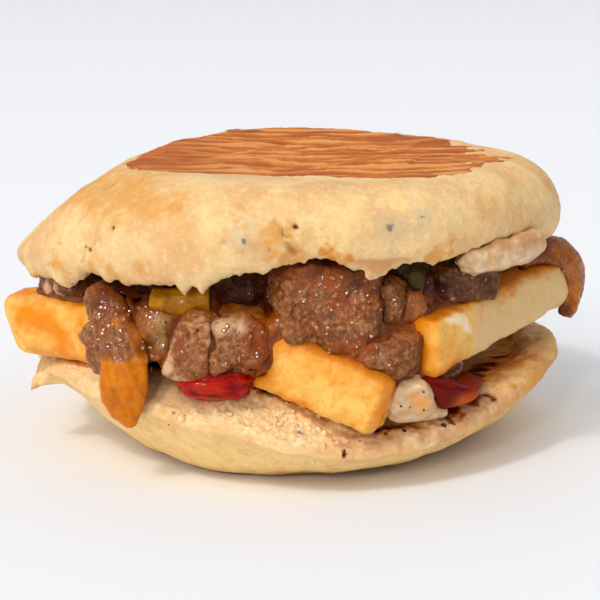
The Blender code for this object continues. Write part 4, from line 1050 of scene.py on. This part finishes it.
# Where it has run on from the pool over the crumb: x, y, z, half its width and half its thickness
SAUCE_RUN = ((29.6, -51.4, 22.6, 3.0, 2.2), (33.4, -50.0, 21.0, 3.4, 2.0), (37.0, -47.4, 19.9, 3.0, 1.4),
             (39.8, -44.6, 19.3, 2.2, 0.9))
RUN_STEPS = 40
together = bmesh.new()
together.from_mesh(frame["nodes"]["sauce_pool"].data)
for share in np.linspace(0, len(SAUCE_RUN) - 1, RUN_STEPS):
    x, y, z, wide, thick = [np.interp(share, range(len(SAUCE_RUN)), knots) for knots in zip(*SAUCE_RUN)]
    shaping = Matrix.Translation(Vector((x, y, z)) * MM) @ Matrix.Diagonal((wide * MM, wide * MM, thick * MM, 1.0))
    bmesh.ops.create_icosphere(together, subdivisions=2, radius=1.0, matrix=shaping)
mesh = bpy.data.meshes.new("sauce_pool")
together.to_mesh(mesh)
together.free()
mesh = evened(mesh, 0.36, 40)
push_out(mesh, 0.4)
points = places_of(mesh)
push_out(mesh, 0.3 * lumps(points, 4.0, 700, 2))
shallow = ramp(points[:, 2] - 0.12 * (points[:, 0] - 34.0), 20.6, 18.4)
paint(mesh, thin=np.clip(shallow * ramp(points[:, 0], 34.0, 37.5) * ramp(points[:, 0], 43.5, 40.5), 0, 1))
add_piece("sauce_pool_jelly", mesh, chilli, "chilli_sauce", "sauce_pool")


# Gravy
# The cooking juices, boiled down until they cling. They fill the corners where the pieces of filling meet, bridge the
# narrow gaps between them, and leave the open faces bare.

GRAVY_CELL = 0.78
GRAVY_BRIDGE = 2.0
GRAVY_LEVEL = -0.15
GRAVY_FREE = ("chip", "mayonnaise", "tomato", "sauce_pool", "onion_drape", "onion_right", "pepper")


def joined(*starts):
    """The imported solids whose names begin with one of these, as one mesh, and what measures the distance to it."""
    together = bmesh.new()
    for name, solid in frame["nodes"].items():
        if name.startswith(starts):
            together.from_mesh(solid.data)
    mesh = bpy.data.meshes.new("joined")
    together.to_mesh(mesh)
    nearest = BVHTree.FromBMesh(together)
    together.free()
    return mesh, nearest


def apart_from(nearest, points):
    """Each point's distance in mm to the surface that nearest was made from."""
    return np.array([nearest.find_nearest(place)[3] for place in (points * MM).tolist()]) / MM


gravy_mesh = evened(joined("liver", "onion", *GRAVY_FREE)[0], GRAVY_CELL, 2)
push_out(gravy_mesh, GRAVY_BRIDGE)
gravy_mesh = evened(gravy_mesh, GRAVY_CELL, 4)
points = places_of(gravy_mesh)
from_bare = apart_from(joined(*GRAVY_FREE)[1], points)
from_meat = apart_from(joined("liver", "onion_mid", "onion_sauced", "onion_inner", "onion_back")[1], points)
on_bare = ramp(from_meat - from_bare, 0.2, 1.6)
push_out(gravy_mesh, GRAVY_LEVEL - GRAVY_BRIDGE + 0.22 * lumps(points, 4.0, 800, 2) - 0.7 * on_bare)
gravy_mesh = evened(gravy_mesh, GRAVY_CELL, 6)
points = places_of(gravy_mesh)
filling_near = joined("liver", "onion", *GRAVY_FREE)[1]
push_out(gravy_mesh, -0.9 * (1 - ramp(apart_from(filling_near, points), 0.3, 1.0)))
points = places_of(gravy_mesh)
from_middle = np.hypot(points[:, 0], points[:, 1])
# Painted shade: gravy far inside the sandwich and high under the lid is painted nearly black
shade_inside = np.maximum(ramp(from_middle, 56.0, 51.0), ramp(from_middle, 60.0, 56.5) * ramp(points[:, 2], 39.0, 42.0))
GRAVY_ORANGE = ((-3.0, -52.0, 34.0, 9.0), (6.0, -56.0, 31.5, 7.0), (14.0, -58.0, 29.5, 6.0),
                (-14.0, -50.0, 37.0, 7.0), (26.0, -50.0, 33.0, 5.0), (44.0, -36.0, 41.0, 9.0),
                (56.0, -20.0, 42.0, 9.0), (-45.0, -38.0, 30.0, 7.0), (-28.0, -51.0, 25.6, 6.0))
paint(gravy_mesh,
      deep=np.maximum(ramp(apart_from(filling_near, points), 0.6, 1.8), shade_inside),
      orange=ramp(spots(points, GRAVY_ORANGE, 0.5, 801), 0.0, 0.7))

# Gravy: a clear brown jelly of meat juice and oil, nearly black where it is deep and orange where it is thin, with
# broad mirror-like lights. Far inside and high under the lid it is painted nearly black as painted shade.
gravy, tree, shader, place, mask = new_material(
    "meat_gravy", ("deep", "orange"), IOR=1.42, Roughness=0.2, Specular_IOR_Level=0.1, Coat_Weight=0.5,
    Coat_Roughness=0.08, Coat_IOR=1.42)
patch = node(tree, "TexNoise", {"Vector": place, "Scale": 1 / (3.0 * MM), "Detail": 3.0})
ripple = node(tree, "TexNoise", {"Vector": place, "Scale": 1 / (1.6 * MM), "Detail": 1.0})
vary = node(tree, "MapRange", {"Value": patch, "From Min": 0.38, "From Max": 0.62})
brown = node(tree, "Mix", {0: vary, 6: linear("#8C4C1E"), 7: linear("#743408")}, data_type="RGBA")
amber = node(tree, "Mix", {0: vary, 6: linear("#BE5E04"), 7: linear("#9C4402")}, data_type="RGBA")
thin = node(tree, "Mix", {0: mask["orange"], 6: brown, 7: amber}, data_type="RGBA")
colour = node(tree, "Mix", {0: mask["deep"], 6: thin, 7: linear("#4A1202")}, data_type="RGBA")
bump = node(tree, "Bump", {"Height": ripple, "Strength": 0.6, "Distance": 0.5 * MM})
feed(tree, shader, {"Base Color": colour, "Normal": bump, "Coat Normal": bump})
add_piece("gravy_film", gravy_mesh, gravy, "chilli_sauce")


# Loose bits
# What sticks wherever such a sandwich is filled by hand: wet granules of liver and beads of its juice on the filling,
# dry crumbs on the torn bread, burnt crumbs by the sauce, and grains of black pepper.

def dressed(*endings):
    """What finds the nearest place on the finished pieces whose names end so."""
    together = bmesh.new()
    for piece in bpy.context.scene.objects:
        if piece.type == "MESH" and piece.name.endswith(endings):
            together.from_mesh(piece.data)
    nearest = BVHTree.FromBMesh(together)
    together.free()
    return nearest


def strewn(nearest, clusters, reach, seed):
    """Places in mm on a surface, and the way out there, scattered in clusters (x, y, z, radius, count)."""
    dice = np.random.default_rng(seed)
    places, outward = [], []
    for x, y, z, spread, count in clusters:
        for tries in range(count):
            start = np.array((x, y, z)) + spread * dice.uniform(-1, 1, 3)
            spot, normal, face, apart = nearest.find_nearest(Vector(start * MM))
            if apart < reach * MM:
                places.append(np.array(spot) / MM)
                outward.append(np.array(normal))
    return np.array(places), np.array(outward)


def grains_mesh(name, places, outward, sizes, flatness, angular, seed):
    """One mesh of small grains, each a ball of its own size, pressed flat along its way out and part sunk."""
    dice = np.random.default_rng(seed)
    ball = bmesh.new()
    bmesh.ops.create_icosphere(ball, subdivisions=2, radius=1.0)
    corners = np.array([vertex.co[:] for vertex in ball.verts])
    faces = np.array([[vertex.index for vertex in face.verts] for face in ball.faces])
    ball.free()
    side = np.cross(outward, dice.normal(size=outward.shape))
    side /= np.linalg.norm(side, axis=1)[:, None]
    other = np.cross(outward, side)
    along = dice.uniform(0.8, 1.25, len(places))
    dent = 1 + angular * dice.uniform(-1, 1, (len(places), len(corners)))
    local = corners[None] * dent[:, :, None]
    grown = (local[:, :, 0, None] * (side * (sizes * along)[:, None])[:, None]
             + local[:, :, 1, None] * (other * (sizes / along)[:, None])[:, None]
             + local[:, :, 2, None] * (outward * (sizes * flatness)[:, None])[:, None])
    grown += (places + outward * (0.15 * sizes * flatness)[:, None])[:, None]
    every = (faces[None] + (np.arange(len(places)) * len(corners))[:, None, None]).reshape(-1, 3)
    mesh = bpy.data.meshes.new(name)
    mesh.from_pydata((grown.reshape(-1, 3) * MM).tolist(), [], every.tolist())
    mesh.shade_smooth()
    return mesh


def loose_grains(name, nearest, clusters, sizes, flatness, angular, seed):
    """Grains strewn on a surface, in sizes from smallest to largest mm, the more of them small the higher the skew."""
    places, outward = strewn(nearest, clusters, 3.0, seed)
    smallest, largest, skew = sizes
    grown = smallest + (largest - smallest) * np.random.default_rng(seed + 1).uniform(0, 1, len(places)) ** skew
    return grains_mesh(name, places, outward, grown, flatness, angular, seed + 2)


filling_surface = dressed("_meat", "_layers")
BEAD_CLUSTERS = (
    (6.0, -57.8, 44.6, 4.0, 26), (13.0, -56.4, 43.0, 5.0, 22), (4.0, -57.8, 36.0, 7.0, 26),
    (12.0, -57.4, 37.0, 6.0, 20), (19.6, -54.0, 44.0, 4.0, 22), (19.0, -54.6, 38.0, 4.0, 10),
    (16.0, -58.0, 31.6, 5.0, 18), (23.0, -55.6, 30.4, 4.0, 16), (-13.6, -60.0, 37.4, 3.2, 18),
    (-8.6, -60.4, 34.0, 4.4, 30), (-12.0, -60.4, 30.4, 4.0, 14), (-20.6, -59.6, 33.0, 5.0, 14),
    (-41.0, -48.0, 37.4, 4.0, 34), (-39.4, -50.6, 34.4, 4.0, 40), (-37.0, -53.0, 31.4, 3.0, 26),
    (-31.4, -51.6, 38.4, 3.2, 26), (-29.4, -53.0, 31.0, 3.4, 30), (-27.0, -53.4, 34.4, 3.0, 10),
    (-3.0, -50.0, 43.4, 5.0, 22), (-12.0, -50.0, 43.4, 5.0, 16), (38.0, -44.0, 43.6, 5.0, 34),
    (27.0, -50.0, 41.0, 4.0, 16), (-49.6, -34.0, 31.0, 4.0, 10), (-45.4, -40.0, 29.0, 4.0, 18),
    (65.0, -12.6, 40.0, 5.0, 20), (62.0, -15.0, 45.0, 4.0, 12), (-48.0, -34.0, 41.0, 4.0, 14),
    (56.0, 14.0, 34.0, 11.0, 60), (44.0, 38.0, 34.0, 11.0, 60), (14.0, 54.0, 34.0, 12.0, 60),
    (-16.0, 54.0, 34.0, 12.0, 60), (-44.0, 38.0, 34.0, 11.0, 60), (-57.0, 10.0, 34.0, 11.0, 60),
    (58.0, -6.0, 32.0, 8.0, 24))
# A bead sags on its granule, so its flattest part turns up and out
BEAD_LEAN = np.array((-0.22, -0.81, 0.54))
places, outward = strewn(filling_surface, BEAD_CLUSTERS, 4.0, 901)
facing = ramp(outward @ BEAD_LEAN, 0.1, 0.5) * (places[:, 1] < 0)
dice = np.random.default_rng(902)
lean = outward + 5.0 * facing[:, None] * (BEAD_LEAN + 0.08 * dice.normal(size=places.shape))
lean /= np.linalg.norm(lean, axis=1)[:, None]
bead_sizes = 0.18 + 0.42 * dice.uniform(0, 1, len(places)) ** 1.8
mesh = grains_mesh("juice_beads", places, lean, bead_sizes, 0.14, 0.0, 903)
corner_count = len(mesh.vertices) // len(places)
# Painted shade: beads high under the lid are painted near black
under_lid_shade = ramp(places[:, 2], 40.5, 43.5) * ramp(np.hypot(places[:, 0], places[:, 1]), 59.5, 56.5)
amberish = ramp(spots(places, ((-36.0, -55.0, 20.0, 9.0), (65.0, -12.0, 40.0, 10.0)), 0.0), 0.0, 0.5)
paint(mesh, deep=np.repeat(under_lid_shade, corner_count), orange=np.repeat(amberish, corner_count))

# Meat juice: clear and thin, over a granule of meat whose brown shows through. Each bead is mirror smooth, so it holds
# one small sharp light. Beads high under the lid are painted near black as painted shade.
juice, tree, shader, place, mask = new_material(
    "meat_juice", ("deep", "orange"), IOR=1.42, Roughness=0.12, Specular_IOR_Level=0.5, Coat_Weight=1.0,
    Coat_Roughness=0.04, Coat_IOR=1.6)
patch = node(tree, "TexNoise", {"Vector": place, "Scale": 1 / (1.6 * MM), "Detail": 2.0})
vary = node(tree, "MapRange", {"Value": patch, "From Min": 0.36, "From Max": 0.64})
colour = node(tree, "Mix", {0: vary, 6: linear("#A46232"), 7: linear("#7A3E10")}, data_type="RGBA")
for share, shade in ((mask["orange"], "#9C4A08"), (mask["deep"], "#2C1004")):
    colour = node(tree, "Mix", {0: share, 6: colour, 7: linear(shade)}, data_type="RGBA")
feed(tree, shader, {"Base Color": colour})
add_piece("juice_beads", mesh, juice, "liver")

bread_surface = dressed("lower_bread")
CRUMB_CLUSTERS = (
    (-12.0, -56.0, 19.4, 5.0, 22), (-4.0, -57.0, 17.4, 5.0, 30), (3.0, -57.6, 15.6, 5.0, 30),
    (-20.0, -55.0, 20.6, 4.0, 10), (9.0, -57.6, 13.4, 4.0, 16), (-46.0, -38.0, 21.6, 4.0, 10),
    (50.0, 26.0, 20.0, 9.0, 20), (20.0, 56.0, 19.0, 9.0, 20), (-20.0, 56.0, 19.0, 9.0, 20),
    (-52.0, 26.0, 20.0, 9.0, 20))
mesh = loose_grains("bread_crumbs", bread_surface, CRUMB_CLUSTERS, (0.2, 0.8, 2), 0.5, 0.4, 911)
paint(mesh, browned=np.full(len(mesh.vertices), UNTOUCHED), torn=np.ones(len(mesh.vertices)))
add_piece("bread_crumbs", mesh, bread, "griddled_bread")

# Charred crumbs and cracked black pepper: brittle and matt, brown-black with a rusty edge.
charred, tree, shader, place, _ = new_material("charred_crumb", Roughness=0.6, IOR=1.4, Specular_IOR_Level=0.2)
patch = node(tree, "TexNoise", {"Vector": place, "Scale": 1 / (0.9 * MM), "Detail": 2.0})
vary = node(tree, "MapRange", {"Value": patch, "From Min": 0.38, "From Max": 0.62})
colour = node(tree, "Mix", {0: vary, 6: linear("#8A4A1C"), 7: linear("#3A1A0A")}, data_type="RGBA")
feed(tree, shader, {"Base Color": colour})
CHARRED_CLUSTERS = ((35.0, -51.0, 15.6, 2.4, 12), (38.4, -49.6, 16.4, 1.8, 4), (22.0, -53.0, 13.4, 3.0, 4))
mesh = loose_grains("burnt_crumbs", bread_surface, CHARRED_CLUSTERS, (0.35, 0.95, 1), 0.5, 0.45, 921)
add_piece("burnt_crumbs", mesh, charred, "griddled_bread")

every_surface = dressed("_meat", "_layers", "_fried", "_smear", "lower_bread")
PEPPER_CLUSTERS = ((-20.6, -60.0, 35.0, 5.0, 16), (-10.0, -60.4, 33.0, 5.0, 6), (27.0, -55.6, 21.0, 4.0, 5),
                   (-28.0, -54.0, 20.0, 5.0, 2), (0.0, 56.0, 30.0, 12.0, 10), (56.0, 10.0, 30.0, 12.0, 8),
                   (-56.0, 10.0, 30.0, 12.0, 8))
mesh = loose_grains("black_pepper", every_surface, PEPPER_CLUSTERS, (0.16, 0.34, 1), 0.7, 0.3, 931)
add_piece("black_pepper", mesh, charred, "liver")


# Floor, light and camera
# A seamless white sweep, lit by a large soft lamp from the front left, with white fill from all round.

floor_mesh = bpy.data.meshes.new("floor")
FLOOR_HALF = 6000.0 * MM
floor_corners = [(x * FLOOR_HALF, y * FLOOR_HALF, 0.0) for x, y in ((-1, -1), (1, -1), (1, 1), (-1, 1))]
floor_mesh.from_pydata(floor_corners, [], [(0, 1, 2, 3)])
floor = bpy.data.objects.new("floor", floor_mesh)
bpy.context.scene.collection.objects.link(floor)
paper, tree, shader, place, _ = new_material("white_paper", Roughness=0.9, Specular_IOR_Level=0.1)
# Painted shade: the paper is painted greyer towards the back
depth = node(tree, "SeparateXYZ", {0: place}).outputs["Y"]
far = node(tree, "MapRange", {"Value": depth, "From Min": 0.1, "From Max": 1.8})
colour = node(tree, "Mix", {0: far, 6: linear("#F3F5F8"), 7: linear("#E6E7EA")}, data_type="RGBA")
feed(tree, shader, {"Base Color": colour})
floor_mesh.materials.append(paper)

world = bpy.data.worlds.new("studio")
world.use_nodes = True
tree = world.node_tree
direction = node(tree, "SeparateXYZ", {0: node(tree, "TexCoord").outputs["Generated"]})
overhead = node(tree, "MapRange", {"Value": direction.outputs["Z"], "From Min": 0.05, "From Max": 0.75,
                                   "To Min": 0.14, "To Max": 0.76}, interpolation_type="SMOOTHSTEP")
behind = node(tree, "MapRange", {"Value": direction.outputs["Y"], "From Min": 0.1, "From Max": 0.9,
                                 "To Min": 0.0, "To Max": 0.2}, interpolation_type="SMOOTHSTEP")
glow = node(tree, "Math", {0: overhead, 1: behind}, operation="ADD")
feed(tree, tree.nodes["Background"], {"Color": linear("#F7F8FA"), "Strength": glow})
scene = bpy.context.scene
scene.world = world

LAMPS = {
    # name: (energy, spread in degrees, direction towards it)
    "key_lamp": (0.62, 26.0, (-0.5, -0.62, 0.95)),
    "spark_lamp": (0.62, 6.0, (-0.5, -0.62, 0.95)),
    "front_lamp": (0.4, 6.0, (-0.25, -0.86, 0.44)),
    "low_panel": (0.38, 50.0, (-0.3, -0.93, 0.06)),
    "left_panel": (0.48, 60.0, (-0.8, -0.6, 0.04)),
}
for name, (energy, spread, toward) in LAMPS.items():
    lamp = bpy.data.objects.new(name, bpy.data.lights.new(name, "SUN"))
    lamp.data.energy = energy
    lamp.data.angle = math.radians(spread)
    lamp.data.color = (1.0, 0.99, 0.975)
    lamp.rotation_euler = Vector(toward).to_track_quat("Z", "Y").to_euler()
    scene.collection.objects.link(lamp)

CAMERA_TARGET = Vector((2.4, 0.0, 29.6)) * MM
CAMERA_DISTANCE = 440.0 * MM
CAMERA_ELEVATION = math.radians(12.4)
camera = bpy.data.objects.new("camera", bpy.data.cameras.new("camera"))
camera.data.lens = 109.3
camera.data.sensor_width = 36.0
camera.data.clip_start = 0.01
away = Vector((0.0, -math.cos(CAMERA_ELEVATION), math.sin(CAMERA_ELEVATION)))
camera.location = CAMERA_TARGET + away * CAMERA_DISTANCE
camera.rotation_euler = away.to_track_quat("Z", "Y").to_euler()
scene.collection.objects.link(camera)
scene.camera = camera
scene.view_settings.view_transform = "Standard"
